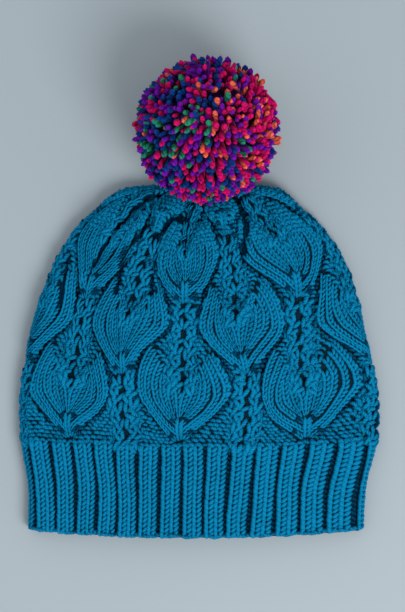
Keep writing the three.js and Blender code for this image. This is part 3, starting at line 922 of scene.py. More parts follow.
def yarn_of_hat():
    colours = bpy.context.scene.hat_colours
    return kept("yarn", teal_yarn, colours.hat, colours.hat_shade)


def teal_yarn(light, dark):
    # The hat yarn is painted darker on its sides and lighter along its top
    return yarn_material("Teal wool yarn", light, dark, shaded_sides=0.85)


LOOK_ROWS = 0.6  # rows each way over which a stitch's direction is taken
SEAT = 0.55  # how deep a stitch sits, in shares of the yarn's thickness
LEAST_SHIFT = 0.05  # millimetres that even a neat stitch lies off its place
UNRULY_SHIFT = 0.7  # millimetres more for each unit of unruliness
SIZE_SPREAD = 0.03  # how unevenly large the stitches are
TONE_SPREAD = 0.06  # how unevenly dark they are


def lay_column(places, surface, stitches, ups, width, random, row=KNIT_ROW, lift=0.0,
               tone=0.0, start=0.0, unruly=0.03, plump=1.0, slant=0.0):
    """Sets stitches one row apart along a line on the hat.

    stitches and ups give the line, width is the column's width in millimetres at
    each of its points, unruly is how unevenly the stitches lie, plump is how high
    they stand and slant is how far they lean over to the side.
    """
    points = surface.at(stitches, ups)
    steps = np.linalg.norm(np.diff(points, axis=0), axis=1)
    reach = np.concatenate([[0], np.cumsum(steps)])
    count = int((reach[-1] - start * row) / row)
    if count < 1:
        return
    marks = (np.arange(count) + 0.5 + start) * row
    stitch = np.interp(marks, reach, stitches)
    up = np.interp(marks, reach, ups)
    wide = np.interp(marks, reach, np.broadcast_to(width, reach.shape))
    before, after = (
        surface.at(np.interp(marks + step, reach, stitches), np.interp(marks + step, reach, ups))
        for step in (-LOOK_ROWS * row, LOOK_ROWS * row))
    outward = surface.outward(stitch, up)
    at = surface.at(stitch, up)
    at = at - outward * (SEAT * surface.yarn - lift)
    at = at + random.normal(0, LEAST_SHIFT + UNRULY_SHIFT * unruly, at.shape)
    along = normalised(after - before)
    along = along + slant * np.cross(along, outward) + random.normal(0, unruly, at.shape)
    stretch = np.stack([wide / KNIT_WIDTH, np.full(count, row / KNIT_ROW),
                        np.full(count, plump)], 1)
    stretch = stretch * random.normal(1, SIZE_SPREAD, (count, 1))
    # Each stitch's own uneven tone, with the painted shade and light of its place added
    tones_and_painted_shade = tone + shade_tone(surface, stitch, up) + random.normal(0, TONE_SPREAD, count)
    places.add(at, outward, along, stretch, tones_and_painted_shade)


# The painted shade and light of the stitches at some places
def shade_tone(surface, stitch, up):
    return SHADE_TONE * surface.sample(surface.painted_light_and_shade, stitch, up)[:, 0]


def rows_to_up(surface, rows):
    return surface.band_height + np.asarray(rows, float) * surface.crown_height / CROWN_ROWS


def local_width(surface, stitches, ups, count):
    """Width in millimetres of some stitches side by side at places on the hat."""
    left = surface.sample(surface.plain, np.asarray(stitches) - 0.5, ups)
    right = surface.sample(surface.plain, np.asarray(stitches) + 0.5, ups)
    return np.linalg.norm(right - left, axis=-1) * count


RIB_COLUMN = 0.205  # a knit column's middle from its rib's middle, in shares of a rib
KNIT_SHARE = 0.45  # width of a knit column, in shares of a rib
PURL_SHARE = 0.3  # width of the valley between two ribs, in shares of a rib
PURL_OVERLAP = 1.3  # how much wider than the valley the purl bumps are
RIB_START = 1.2  # millimetres above the edge where the columns start
RIB_PAST = 4.6  # millimetres that they run on into the crown
RIB_STEPS = 62
Wander = namedtuple("Wander", "reach long turn")
RIB_WANDER = (Wander(0.12, 17.0, 1.7), Wander(0.06, 7.0, 1.0))  # how the ribs sway


def lay_ribbing(surface, random):
    """Knit columns in pairs with a column of purl bumps between the pairs."""
    knits, purls = Places(), Places()
    ups = np.linspace(RIB_START, surface.band_height + RIB_PAST, RIB_STEPS)
    for rib in range(RIBS):
        middle = 4.0 * rib
        wander = sum(w.reach * np.sin(ups / w.long + rib * w.turn) for w in RIB_WANDER)
        for side in (-1, 1):
            stitches = middle + 4 * side * RIB_COLUMN + wander
            width = local_width(surface, stitches, ups, 4 * KNIT_SHARE)
            lay_column(knits, surface, stitches, ups, width, random, tone=0.03,
                       start=0.25 * (side > 0))
        valley = middle + 2 + 0 * ups
        width = local_width(surface, valley, ups, 4 * PURL_SHARE)
        # The purl bumps lie low in the valleys and are painted darker there, as shade
        lay_column(purls, surface, valley, ups, width * PURL_OVERLAP, random, lift=-0.9, tone=-0.42,
                   unruly=0.07, slant=0.5)
    return knits, purls


EDGE_UP = 1.0  # millimetres above the edge at which its turns are placed
EDGE_SINK = 1.8  # millimetres that they lie below the surface
EDGE_DROP = 0.7  # millimetres that they hang lower on a rib than between ribs
EDGE_RAISE = 1.2  # millimetres that all of them are moved up
TURN_WIDTH = 3.4  # millimetres of edge for a turn of plain size


def lay_edge(surface, random):
    """The cast-on edge, a row of short slanted turns of yarn."""
    places = Places()
    stitches = np.arange(0, STITCHES, 1.0)
    ups = np.full(len(stitches), EDGE_UP)
    at = surface.at(stitches, ups)
    outward = surface.outward(stitches, ups)
    run = normalised(surface.at(stitches + 0.5, ups) - surface.at(stitches - 0.5, ups))
    down = np.cross(outward, run)
    down = down * np.sign(-down[:, 1:2])
    on_rib = 0.5 + 0.5 * np.cos(2 * math.pi * stitches / 4)[:, None]
    at = at - outward * EDGE_SINK + down * (EDGE_DROP * on_rib - EDGE_RAISE)
    at = at + random.normal(0, 0.24, at.shape)
    along = normalised(-down + 0.2 * run)
    size = local_width(surface, stitches, ups, 1.0) / TURN_WIDTH
    stretch = np.stack([size * 1.75, np.full(len(size), 1.4), np.full(len(size), 1.1)], 1)
    places.add(at, normalised(outward + 0.9 * down), along, stretch,
               random.normal(-0.14, 0.1, len(size)))
    return places


OUTER_COLUMNS = 3  # knit columns that follow a leaf's outer edge
VEIN = 0.24  # stitches of gap that set a leaf's two outermost columns off
# Knit columns that fan out inside: their place as a share of the room there, and the
# stitches of room from which each of them starts and below which it ends
INNER_COLUMNS = ((0.13, 0.7, 1.5), (0.5, 1.3, 2.4), (0.87, 0.7, 1.5))
COLUMN_PITCH = 1.27  # stitches from one leaf column to the next
EDGE_INSET = 0.55  # stitches from a leaf's edge to the middle of its first column
FOOT_ROWS = 5.0  # rows over which one column fills a leaf's foot
ROW_STEP = 0.1  # rows from one point of a line to the next
LEAF_END_ROWS = 3.0  # rows below the top where the leaf columns end
LEAST_POINTS = 8  # a line with fewer points isn't knitted
CROWDED = 1.7  # stitches in one place from which every other column is left out
STITCH_SHAPE = 1.26  # width of a stitch for its height
LEAF_WIDTHS = (2.2, 5.2)  # narrowest and widest column, in millimetres
LEAF_FADE_ROW = 50  # above this row the leaves are drawn in and their columns thin out


def leaf_column_lines():
    """Offsets from a leaf's middle over its rows, for each knit column of one half."""
    rows = np.arange(0.2, LEAF_TOP, ROW_STEP)
    outer, inner = leaf_bounds(rows)
    lines = []
    vein = VEIN * smooth_step(2.5, 4, rows) * smooth_step(12.5, 10, rows)
    for k in range(OUTER_COLUMNS):
        off = outer - EDGE_INSET - COLUMN_PITCH * k - vein * (k == OUTER_COLUMNS - 1)
        keep = (off > 0.1) & (off > inner + 0.15)
        lines.append((rows[keep], off[keep], np.full(keep.sum(), COLUMN_PITCH)))
    room = outer - EDGE_INSET - COLUMN_PITCH * (OUTER_COLUMNS - 0.5) - vein - inner
    for share, least, last in INNER_COLUMNS:
        keep = room > np.where(rows < LEAF_TOP / 2, least, last)
        lines.append((rows[keep], (inner + share * room)[keep], 0.42 * room[keep]))
    base = rows[(rows > 0.2) & (rows < FOOT_ROWS)]
    lines.append((base, 0 * base, np.full(len(base), COLUMN_PITCH)))
    return [line for line in lines if len(line[0]) > LEAST_POINTS]


def crowding(surface, stitch, up):
    """How many stitch widths share one place where the top is drawn in."""
    plain = surface.crown_width / (STITCHES / 2)
    return plain / np.maximum(local_width(surface, stitch, up, 1), 0.05)


def lay_leaves(surface, random, first, last):
    """Knit columns of every leaf whose middle lies from one stitch to another."""
    places = Places()
    lines = leaf_column_lines()
    for line in range(LEAF_LINES):
        base = LEAF_BASE_ROW + line * LEAF_RISE
        for middle in np.arange(leaf_middle(line), STITCHES, REPEAT):
            if not first <= middle < last:
                continue
            for number, (rows, off, wide) in enumerate(lines):
                for side in (-1, 1):
                    lay_leaf_column(places, surface, random, base, middle,
                                    rows, off * side, wide, number)
    return places


def lay_leaf_column(places, surface, random, base, middle, rows, off, wide, number):
    high = base + rows
    keep = high < CROWN_ROWS - LEAF_END_ROWS
    if keep.sum() < LEAST_POINTS:
        return
    stitches = middle + off[keep] + 0.1 * np.sin(high[keep] / 3 + middle + number)
    ups = rows_to_up(surface, high[keep])
    crowd = crowding(surface, stitches, ups)
    if number % 2 == 1 and np.median(crowd) > CROWDED:
        return
    share = np.where(crowd > CROWDED, 2.0, 1.0)
    slope = np.gradient(off[keep]) / np.gradient(high[keep])
    lean = np.arctan(slope * STITCH_SHAPE / crowd)
    width = local_width(surface, stitches, ups, wide[keep]) * np.cos(lean) * share
    width = np.clip(width, *LEAF_WIDTHS)
    lay_column(places, surface, stitches, ups, width, random, tone=0.04,
               start=0.5 * random.random())


def in_leaf(stitch, row, margin):
    """Whether a place lies in a leaf, or within some stitches of its edge."""
    inside = np.zeros(np.broadcast(stitch, row).shape, bool)
    for rows, off in leaf_lines(stitch, row):
        outer, inner = leaf_bounds(rows)
        notch = np.where(inner > 0.2, inner - margin, -1)
        inside |= (rows > 0) & (rows < LEAF_TOP) & (off < outer + margin) & (off > notch)
    return inside


UNDERLAY_ROW = 42  # above this row ground runs on below the leaves
LACE_HALF = 2.1  # half width of a lace column, in stitches
LACE_LINK_ROWS = 3.0  # rows from one eyelet to the next
LACE_FIRST_ROW = 10.2  # rows above a leaf's base where the lace in its notch starts
LACE_OVERLAP = 0.6  # rows that the lace reaches into the foot of the next leaf
LACE_TIP_ROWS = 4  # rows below the top where the lace ends
LACE_CROWDED = 2.2  # stitches in one place from which the outer chains are left out
LACE_WIDTHS = (2.4, 7.0)  # narrowest and widest chain, in millimetres
# Chains of lace on each side: stitches from the middle, how far they sway, their
# width in stitches and how high they stand
Chain = namedtuple("Chain", "off swing size plump")
LACE_CHAINS = (Chain(1.2, 0.42, 2.0, 1.35), Chain(2.3, 0.3, 1.3, 1.0))


def lace_spans():
    """Middle stitch, first row and last row of each run of lace."""
    spans = []
    for start in (0.0, REPEAT / 2):
        line = 1 if start == 0.0 else 0
        bases = [LEAF_BASE_ROW + k * LEAF_RISE for k in range(line, LEAF_LINES, 2)]
        runs = [(-0.5, bases[0] + LACE_OVERLAP)] if line == 1 else []
        for k, base in enumerate(bases):
            more = k + 1 < len(bases)
            end = bases[k + 1] + LACE_OVERLAP if more else CROWN_ROWS - LACE_TIP_ROWS
            runs.append((base + LACE_FIRST_ROW, end))
        for middle in np.arange(start, STITCHES, REPEAT):
            spans.extend((middle, low, high) for low, high in runs)
    return spans


def lay_lace(surface, random, first, last):
    """Two chains of slanted stitches with eyelets between them, up each lace column."""
    places = Places()
    for middle, low, high in lace_spans():
        if not first <= middle < last or high - low < 3:
            continue
        rows = np.arange(low, high, ROW_STEP)
        ups = rows_to_up(surface, rows)
        start, apart = random.uniform(0, 6), random.uniform(0.3, 1.7)
        uneven = 0.35 * np.sin(rows / 1.9 + start) + 0.25 * np.sin(rows / 4.3 + 2 * start)
        for side in (-1, 1):
            for off, swing, size, plump in LACE_CHAINS:
                place = 2 * math.pi * rows / LACE_LINK_ROWS + apart * (side > 0) + start
                wave = np.sin(place + uneven)
                stitches = middle + side * (off + swing * wave) + 0.25 * uneven
                crowd = crowding(surface, stitches, ups)
                if np.median(crowd) > LACE_CROWDED and plump <= 1:
                    continue
                width = np.clip(local_width(surface, stitches, ups, size * 0.92), *LACE_WIDTHS)
                lay_column(places, surface, stitches, ups, width, random,
                           row=KNIT_ROW * 1.1 * plump, lift=0.5 if plump > 1 else -0.1,
                           tone=0.02 if plump > 1 else -0.1, start=0.4 * random.random(),
                           unruly=0.17, plump=plump)
    return places


GROUND_ROW = 0.8  # crown rows from one row of purl bumps to the next
GROUND_SEAT = 0.45  # how deep a bump sits, in shares of the yarn's thickness
GROUND_WIDTHS = (2.4, 4.4)  # narrowest and widest bump, in millimetres
BUMP_WIDTH = 3.6  # width of a bump of plain size, in millimetres
BUMP_HEIGHT = 1.15  # height of a bump for its shape's own
GROUND_LOOK = 1.5  # millimetres each way over which a bump's direction is taken
MOST_CROWDED = 6  # stitches in one place from which the ground is left out


def lay_ground(surface, random, first, last):
    """Purl bumps wherever there is neither a leaf nor lace."""
    places = Places()
    stitch, row = np.meshgrid(np.arange(first, last) + 0.5,
                              np.arange(1.0, CROWN_ROWS - 2.0, GROUND_ROW))
    stitch = stitch + np.where(np.arange(len(stitch)) % 2 == 0, 0.25, -0.25)[:, None]
    stitch, row = stitch.ravel(), row.ravel()
    lace = np.zeros(len(stitch), bool)
    for middle, low, high in lace_spans():
        off = np.abs((stitch - middle + STITCHES / 2) % STITCHES - STITCHES / 2)
        lace |= (off < LACE_HALF + 0.5) & (row > low + 0.3) & (row < high - 0.3)
    ups = rows_to_up(surface, row)
    crowd = crowding(surface, stitch, ups)
    every = np.where(crowd > 3.2, 4, np.where(crowd > 1.6, 2, 1))
    keep = (~in_leaf(stitch, row, -0.25) | (row > UNDERLAY_ROW)) & ~lace
    keep &= (np.floor(stitch) % every) == 0
    keep &= (crowd < MOST_CROWDED)
    stitch, row, ups, crowd, every = (a[keep] for a in (stitch, row, ups, crowd, every))
    drawn = smooth_step(LEAF_FADE_ROW, CROWN_ROWS, row)
    stitch = stitch + random.normal(0, 0.1, len(stitch))
    outward = surface.outward(stitch, ups)
    at = surface.at(stitch, ups) - outward * GROUND_SEAT * surface.yarn
    at = at + random.normal(0, 0.12, at.shape)
    above = surface.at(stitch, np.minimum(ups + GROUND_LOOK, surface.height))
    below = surface.at(stitch, ups - GROUND_LOOK)
    along = normalised(above - below)
    sideways = np.cross(along, outward)
    along = along + sideways * random.normal(0.45, 0.2 + 0.4 * drawn, len(stitch))[:, None]
    wide = np.clip(local_width(surface, stitch, ups, 1) * every, *GROUND_WIDTHS) / BUMP_WIDTH
    tall = np.full(len(wide), BUMP_HEIGHT)
    stretch = np.stack([wide, tall, tall], 1)
    stretch = stretch * random.normal(1, 0.1, (len(wide), 1))
    # Each bump's own uneven tone, with the painted shade and light of its place added
    tones_and_painted_shade = shade_tone(surface, stitch, ups) + random.normal(-0.03, 0.07, len(wide))
    places.add(at, outward, along, stretch, tones_and_painted_shade)
    return places


CLOTH_SINK = 0.8  # how deep the cloth lies, in shares of the yarn's thickness
POLE_WALLS = 2.2  # how far below the closed top the inside ends, in walls
SURFACE_GAP = 0.0004  # the cloth's lowest height above the surface, in metres
SEAM = 0.15  # millimetres that each cloth ends from where the band and the crown meet


def cloth_piece(name, surface, low, high, rings, around, finishes, node, closed):
    """The knitting's own wall, which the stitches lie on.

    finishes are the painted shade of the outer side between the stitches and the finish of the
    inside.
    """
    stitches = np.arange(around) * STITCHES / around
    outer_ups = np.linspace(low, high, rings)
    sink = CLOTH_SINK * surface.yarn
    body = [surface.at(stitches, np.full(around, up))
            - surface.outward(stitches, np.full(around, up)) * sink for up in outer_ups]
    inner_grid = kept("inner", surface.plain_grid, surface.wall)
    inner_high = high - (POLE_WALLS * surface.wall if closed else 0)
    inner_ups = np.linspace(inner_high, low + 0.3, max(rings // 4, 4))
    for up in inner_ups:
        body.append(surface.sample(inner_grid, stitches, np.full(around, up)))
    order = [*body[rings:], *body[:rings]] if closed else body
    points = np.concatenate(order)
    faces = []
    total = len(order)

    def ring_faces(a, b):
        i = np.arange(around)
        j = (i + 1) % around
        faces.extend(np.stack([a * around + i, b * around + i, b * around + j,
                               a * around + j], 1).tolist())

    for k in range(total - 1):
        ring_faces(k + 1, k)
    if closed:
        points = np.concatenate([points, order[0].mean(0)[None], order[-1].mean(0)[None]])
        pole = total * around
        for i in range(around):
            j = (i + 1) % around
            faces.append((pole, j, i))
            faces.append((pole + 1, (total - 1) * around + i, (total - 1) * around + j))
    else:
        ring_faces(0, total - 1)
    mesh = bpy.data.meshes.new(name)
    mesh.from_pydata((points * MM).tolist(), [], faces)
    smooth(mesh)
    for finish in finishes:
        mesh.materials.append(finish)
    inner_rings = len(body) - rings
    first_inner = 0 if closed else rings * around
    inside = [first_inner <= face[0] < first_inner + inner_rings * around for face in faces]
    mesh.polygons.foreach_set("material_index", [int(value) for value in inside])
    mesh.update()
    return joined_piece(name, [mesh], [node], floor=SURFACE_GAP)


# Pompom

# Where each colour gathers on the pompom. right, forward and up are directions
# from its middle, spread is how far the colour reaches, and the rest are the
# shares of the five yarns there.
Zone = namedtuple("Zone", "right forward up spread magenta purple blue green coral")
ZONES = (
    Zone(-0.75, 0.1, 0.65, 0.45, 0.20, 0.28, 0.36, 0.14, 0.02),
    Zone(-0.2, 0.48, 0.85, 0.27, 0.10, 0.22, 0.62, 0.04, 0.02),
    Zone(-0.6, -0.45, 0.66, 0.45, 0.16, 0.26, 0.42, 0.14, 0.02),
    Zone(-0.2, 0.85, 0.5, 0.4, 0.34, 0.34, 0.20, 0.10, 0.02),
    Zone(0.3, 0.6, 0.74, 0.35, 0.37, 0.18, 0.03, 0.02, 0.40),
    Zone(0.8, 0.3, 0.5, 0.5, 0.59, 0.14, 0.02, 0.01, 0.24),
    Zone(0.75, -0.3, 0.6, 0.45, 0.50, 0.26, 0.03, 0.01, 0.20),
    Zone(0.05, 0.0, 1.0, 0.27, 0.41, 0.12, 0.03, 0.04, 0.40),
    Zone(0.15, -0.56, 0.8, 0.24, 0.14, 0.22, 0.56, 0.07, 0.01),
    Zone(0.0, -0.36, 0.93, 0.18, 0.34, 0.12, 0.05, 0.03, 0.46),
    Zone(-0.1, -0.85, 0.5, 0.4, 0.40, 0.36, 0.14, 0.09, 0.01),
    Zone(0.2, 0.0, -1.0, 0.9, 0.34, 0.26, 0.20, 0.08, 0.12),
)
PARTING = (0.16, -0.02)  # below here the strands lie over, right and forward of the middle
TUFTS = 60  # bunches of strands that lean the same way
TUFT_LEAN = 0.2  # how far a bunch leans
STRAND_LEAN = 0.2  # how far a strand leans from its bunch
TIP_REACH = 0.975  # how far the strands reach, in shares of the pompom's radius
TIP_SPREAD = 0.035  # how unevenly far they reach, in the same shares
TIP_LIMITS = (0.87, 1.07)
STRAND_WIDTHS = (0.75, 1.25)  # thinnest and thickest strand, in shares of its thickness
# A strand from its root to its blunt end: heights in shares of its length, widths in
# shares of its thickness, and the height of its tip
STRAND_HEIGHTS = (-1.0, -0.45, -0.16, -0.03, 0.02)
STRAND_PROFILE = (0.42, 0.86, 1.04, 0.86, 0.42)
STRAND_TIP = 0.06
CORE_SINK = 0.72  # how deep the core lies below the tips, in shares of a strand
POMPOM_GROWTH = 1.01  # the pompom's radius in shares of the solid's
POMPOM_GAP = 0.0002  # the pompom's lowest height above the surface, in metres


def strand_shape(name, length, thickness, sides=6):
    """One cut yarn end: a plump strand with a blunt round end."""
    radius = thickness / 2
    heights = [share * length for share in STRAND_HEIGHTS]
    points, faces, uvs = [], [], []
    for height, width in zip(heights, STRAND_PROFILE):
        for i in range(sides):
            angle = 2 * math.pi * i / sides
            points.append((width * radius * math.cos(angle), width * radius * math.sin(angle),
                           height))
    rings = len(heights)
    for k in range(rings - 1):
        for i in range(sides):
            j = (i + 1) % sides
            faces.append((k * sides + i, k * sides + j, (k + 1) * sides + j, (k + 1) * sides + i))
            u0, u1, v0, v1 = k / rings, (k + 1) / rings, i / sides, (i + 1) / sides
            uvs.append(((u0, v0), (u0, v1), (u1, v1), (u1, v0)))
    faces.append(tuple(range(sides))[::-1])
    uvs.append(tuple((0.0, i / sides) for i in range(sides)))
    points.append((0.0, 0.0, STRAND_TIP * length))
    tip = len(points) - 1
    for i in range(sides):
        j = (i + 1) % sides
        faces.append(((rings - 1) * sides + i, (rings - 1) * sides + j, tip))
        uvs.append(((0.95, i / sides), (0.95, (i + 1) / sides), (1.0, (i + 0.5) / sides)))
    return shape_object(name, [(np.array(points), faces, uvs)])


def even_directions(count):
    """Directions spread evenly over a ball."""
    number = np.arange(count) + 0.5
    height = 1 - 2 * number / count
    around = number * math.pi * (3 - math.sqrt(5))
    level = np.sqrt(1 - height ** 2)
    return np.stack([level * np.cos(around), level * np.sin(around), height], 1)


def zone_colours(directions, random):
    """A yarn colour for each strand, drawn by the shares of the zones round it."""
    colours = bpy.context.scene.hat_colours
    names = ("magenta", "purple", "blue", "green", "coral")
    palette = np.array([list(getattr(colours, name)) for name in names])
    weights = np.zeros((len(directions), len(names)))
    for zone in ZONES:
        middle = np.array([zone.right, zone.forward, zone.up])
        middle = middle / np.linalg.norm(middle)
        near = np.exp(-np.sum((directions - middle) ** 2, 1) / zone.spread ** 2)
        shares = np.array([getattr(zone, name) for name in names])
        weights += near[:, None] * shares
    weights /= weights.sum(1, keepdims=True)
    pick = random.random(len(directions))
    chosen = (pick[:, None] > np.cumsum(weights, 1)).sum(1).clip(0, len(names) - 1)
    return palette[chosen]


def lay_pompom(middle, radius, sizes, random):
    directions = even_directions(sizes.strands)
    directions = normalised(directions + random.normal(0, 0.03, directions.shape))
    reach = radius * (TIP_REACH + random.normal(0, TIP_SPREAD, len(directions)))
    reach = np.clip(reach, TIP_LIMITS[0] * radius, TIP_LIMITS[1] * radius)
    tips = middle + directions * reach[:, None]
    parting = np.array([PARTING[0], PARTING[1], 0.0])
    away = directions - parting
    distance = np.linalg.norm(away[:, :2], axis=1, keepdims=True)
    lean = np.exp(-(distance / 0.5) ** 2) * smooth_step(0.12, -0.12, away[:, 1:2])
    lean = lean * (directions[:, 2:] > 0)
    fan = normalised(np.c_[0.9 * away[:, 0], 0.6 * away[:, 1] - 0.35, 0 * away[:, 2]])
    tufts = even_directions(TUFTS)
    tuft = np.argmax(directions @ tufts.T + random.normal(0, 0.02, (len(directions), TUFTS)), 1)
    tuft_lean = random.normal(0, TUFT_LEAN, (TUFTS, 3))[tuft]
    outward = directions + fan * lean * 1.2 + tuft_lean
    outward = normalised(outward + random.normal(0, STRAND_LEAN, directions.shape))
    stretch = np.ones((len(directions), 3))
    stretch[:, :2] = random.normal(1.0, 0.1, (len(directions), 1)).clip(*STRAND_WIDTHS)
    places = Places()
    side = np.cross(outward, np.array([0.31, 0.17, 0.93]))
    places.add(tips, outward, normalised(side), stretch,
               random.normal(0.25, 0.1, len(directions)), zone_colours(directions, random))
    return places


# Operators

RIB_SEED = 11  # each seed fixes how unevenly one part is knitted
FRONT_SEED = 21
BACK_SEED = 22
PICTURE_WIDE = 405  # the picture's size, which the camera is set for
PICTURE_HIGH = 612
HAT_LEVEL = 0.01  # height at which the picture spans its given width, in metres
FLOOR_REACH = 2.5  # metres from the middle to each side


class HAT_OT_ribbing(bpy.types.Operator):
    """Knit the ribbed band with its cast-on edge"""

    bl_idname = "hat.ribbing"
    bl_label = "Knit ribbing"

    def execute(self, context):
        surface = hat_surface()
        random = np.random.default_rng(RIB_SEED)
        cloth_piece("band_cloth", surface, 0.6, surface.band_height - SEAM, 26, 600,
                    cloth_finishes("ribbing", "rib stitches"), "ribbed_band",
                    closed=False)
        knits, purls = lay_ribbing(surface, random)
        edge = lay_edge(surface, random)
        knit, purl = knit_shape("knit_stitch", 5), purl_shape("purl_stitch", 5)
        tree, yarn = tree_for_copies(), yarn_of_hat()
        meshes = [
            knits.copied("rib_knits", knit, yarn, tree),
            purls.copied("rib_purls", purl, yarn, tree),
            edge.copied("cast_on_edge", purl, yarn, tree),
        ]
        joined_piece("rib_stitches", meshes, ["ribbed_band"])
        remove_shapes(knit, purl)
        return {"FINISHED"}


class HAT_OT_crown(bpy.types.Operator):
    """Knit the leaf pattern, front and back"""

    bl_idname = "hat.crown"
    bl_label = "Knit crown"

    def execute(self, context):
        surface = hat_surface()
        cloth_piece("crown_cloth", surface, surface.band_height + SEAM, surface.height - 0.8,
                    110, 420, cloth_finishes("crown", "crown stitches"),
                    "leaf_crown", closed=True)
        half = STITCHES / 2
        for label, first, last, sides, seed in (
                ("front", -0.5, half - 0.5, 5, FRONT_SEED),
                ("back", half - 0.5, STITCHES - 0.5, 4, BACK_SEED)):
            random = np.random.default_rng(seed)
            knit = knit_shape("knit_" + label, sides)
            purl = purl_shape("purl_" + label, sides)
            tree, yarn = tree_for_copies(), yarn_of_hat()
            leaves = lay_leaves(surface, random, first, last)
            joined_piece("leaf_stitches_" + label, [leaves.copied("leaves", knit, yarn, tree)],
                         ["leaf_crown"])
            lace = lay_lace(surface, random, first, last)
            ground = lay_ground(surface, random, int(round(first + 0.5)), int(round(last + 0.5)))
            joined_piece("lace_stitches_" + label,
                         [lace.copied("lace", knit, yarn, tree),
                          ground.copied("ground", purl, yarn, tree)],
                         ["leaf_crown"])
            remove_shapes(knit, purl)
        return {"FINISHED"}


class HAT_OT_pompom(bpy.types.Operator):
    """Tie the pompom of cut yarn"""

    bl_idname = "hat.pompom"
    bl_label = "Tie pompom"

    def execute(self, context):
        sizes = context.scene.hat_pompom
        low, high = (np.array(corner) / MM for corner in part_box("pompom"))
        radius = (high[0] - low[0]) / 2 * POMPOM_GROWTH
        middle = np.array([(low[0] + high[0]) / 2, high[1] - radius, high[2] - radius])
        random = np.random.default_rng(sizes.seed)
        length = sizes.strand_length / MM
        strand = strand_shape("strand", length, sizes.strand_thickness / MM)
        # Strands are painted darker towards their roots, as shade deep in the pompom
        wool = yarn_material("Pompom yarn", None, None, plies=2.0, fibre_scale=1100.0,
                             colour_attribute="yarn_colour", sheen=0.08,
                             sheen_tint=(0.7, 0.5, 0.8), shaded_root=0.95)
        places = lay_pompom(middle, radius, sizes, random)
        mesh = places.copied("pompom_strands", strand, wool, tree_for_copies())
        joined_piece("pompom_strands", [mesh], ["pompom"], floor=POMPOM_GAP)
        remove_shapes(strand)
        self.make_core(middle, radius - CORE_SINK * length)
        return {"FINISHED"}

    def make_core(self, middle, radius):
        colours = bpy.context.scene.hat_colours
        # The core is painted dark as shade deep among the strands
        material = backing_material("Pompom core", times(colours.purple, 0.35),
                                    times(colours.purple, 0.05))
        mesh = bpy.data.meshes.new("pompom_core")
        core = placed("pompom_core", mesh)
        ball = bmesh.new()
        bmesh.ops.create_icosphere(ball, subdivisions=4, radius=radius * MM)
        ball.to_mesh(mesh)
        ball.free()
        mesh.transform(Matrix.Translation(Vector(middle * MM)))
        smooth(mesh)
        mesh.materials.append(material)
        finish_piece(core, ["pompom"])


class HAT_OT_tie(bpy.types.Operator):
    """Finish the tie between the crown and the pompom"""

    bl_idname = "hat.tie"
    bl_label = "Finish tie"

    def execute(self, context):
        colours = context.scene.hat_colours
        material = backing_material("Tie yarn", colours.hat, colours.hat_shade)
        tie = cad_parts["pompom_tie"]
        tie.data.materials.clear()
        tie.data.materials.append(material)
        return {"FINISHED"}


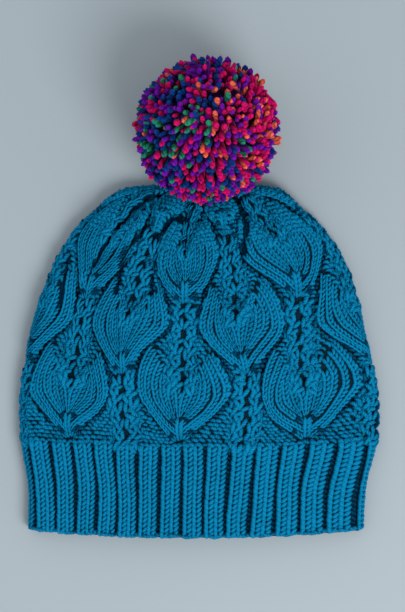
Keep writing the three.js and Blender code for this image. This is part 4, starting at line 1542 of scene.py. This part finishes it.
class HAT_OT_stage(bpy.types.Operator):
    """Set the surface, the light and the camera"""

    bl_idname = "hat.stage"
    bl_label = "Set stage"

    def execute(self, context):
        scene, stage = context.scene, context.scene.hat_stage
        mesh = bpy.data.meshes.new("surface")
        corners = ((-1, -1), (1, -1), (1, 1), (-1, 1))
        mesh.from_pydata([(FLOOR_REACH * x, FLOOR_REACH * y, 0) for x, y in corners], [],
                         [(0, 1, 2, 3)])
        mesh.materials.append(surface_material())
        placed("surface", mesh)
        self.add_light(stage)
        self.add_camera(scene, stage)
        scene.view_settings.view_transform = "Standard"
        return {"FINISHED"}

    def add_light(self, stage):
        lamps = (
            ("key", (0.65, -0.8, 1.15), 0.9, stage.key_power),
            ("side", (-0.9, 0.3, 1.1), 1.4, 0.15 * stage.key_power),
        )
        for name, place, size, power in lamps:
            lamp = bpy.data.lights.new(name, "AREA")
            lamp.shape, lamp.size, lamp.energy = "DISK", size, power
            light = placed(name, lamp)
            light.location = place
            light.rotation_euler = (-Vector(place)).to_track_quat("-Z", "Y").to_euler()
        world = bpy.data.worlds.new("Even light")
        world.use_nodes = True
        background = world.node_tree.nodes["Background"]
        background.inputs["Color"].default_value = (0.93, 0.97, 1.0, 1)
        background.inputs["Strength"].default_value = stage.fill
        bpy.context.scene.world = world

    def add_camera(self, scene, stage):
        picture_height = stage.picture_width * PICTURE_HIGH / PICTURE_WIDE
        camera = bpy.data.cameras.new("Camera")
        camera.lens = camera.sensor_width * (stage.camera_height - HAT_LEVEL) / picture_height
        camera.clip_start, camera.clip_end = 0.05, 20
        eye = placed("Camera", camera)
        eye.location = (0.0022, -0.0028, stage.camera_height)
        eye.rotation_euler = (0, 0, 0)
        scene.camera = eye


class HAT_PT_panel(bpy.types.Panel):
    """Lists what the hat is made of"""

    bl_label = "Knitted hat"
    bl_idname = "HAT_PT_panel"
    bl_space_type = "VIEW_3D"
    bl_region_type = "UI"
    bl_category = "Hat"

    def draw(self, context):
        scene = context.scene
        for group in (scene.hat_sizes, scene.hat_pompom, scene.hat_colours, scene.hat_stage):
            box = self.layout.box()
            for name in group.__annotations__:
                box.prop(group, name)
        for operator in OPERATORS:
            self.layout.operator(operator.bl_idname)


OPERATORS = (HAT_OT_stage, HAT_OT_ribbing, HAT_OT_crown, HAT_OT_pompom, HAT_OT_tie)
GROUPS = {
    "hat_sizes": HatSizes,
    "hat_pompom": PompomSizes,
    "hat_colours": YarnColours,
    "hat_stage": StageSettings,
}


def register():
    for item in (*GROUPS.values(), *OPERATORS, HAT_PT_panel):
        bpy.utils.register_class(item)
    for name, group in GROUPS.items():
        setattr(bpy.types.Scene, name, PointerProperty(type=group))


def unregister():
    for name in GROUPS:
        delattr(bpy.types.Scene, name)
    for item in (HAT_PT_panel, *OPERATORS, *GROUPS.values()):
        bpy.utils.unregister_class(item)


def main():
    register()
    bpy.ops.hat.stage()
    bpy.ops.hat.ribbing()
    bpy.ops.hat.crown()
    bpy.ops.hat.pompom()
    bpy.ops.hat.tie()


if __name__ == "__main__":
    main()
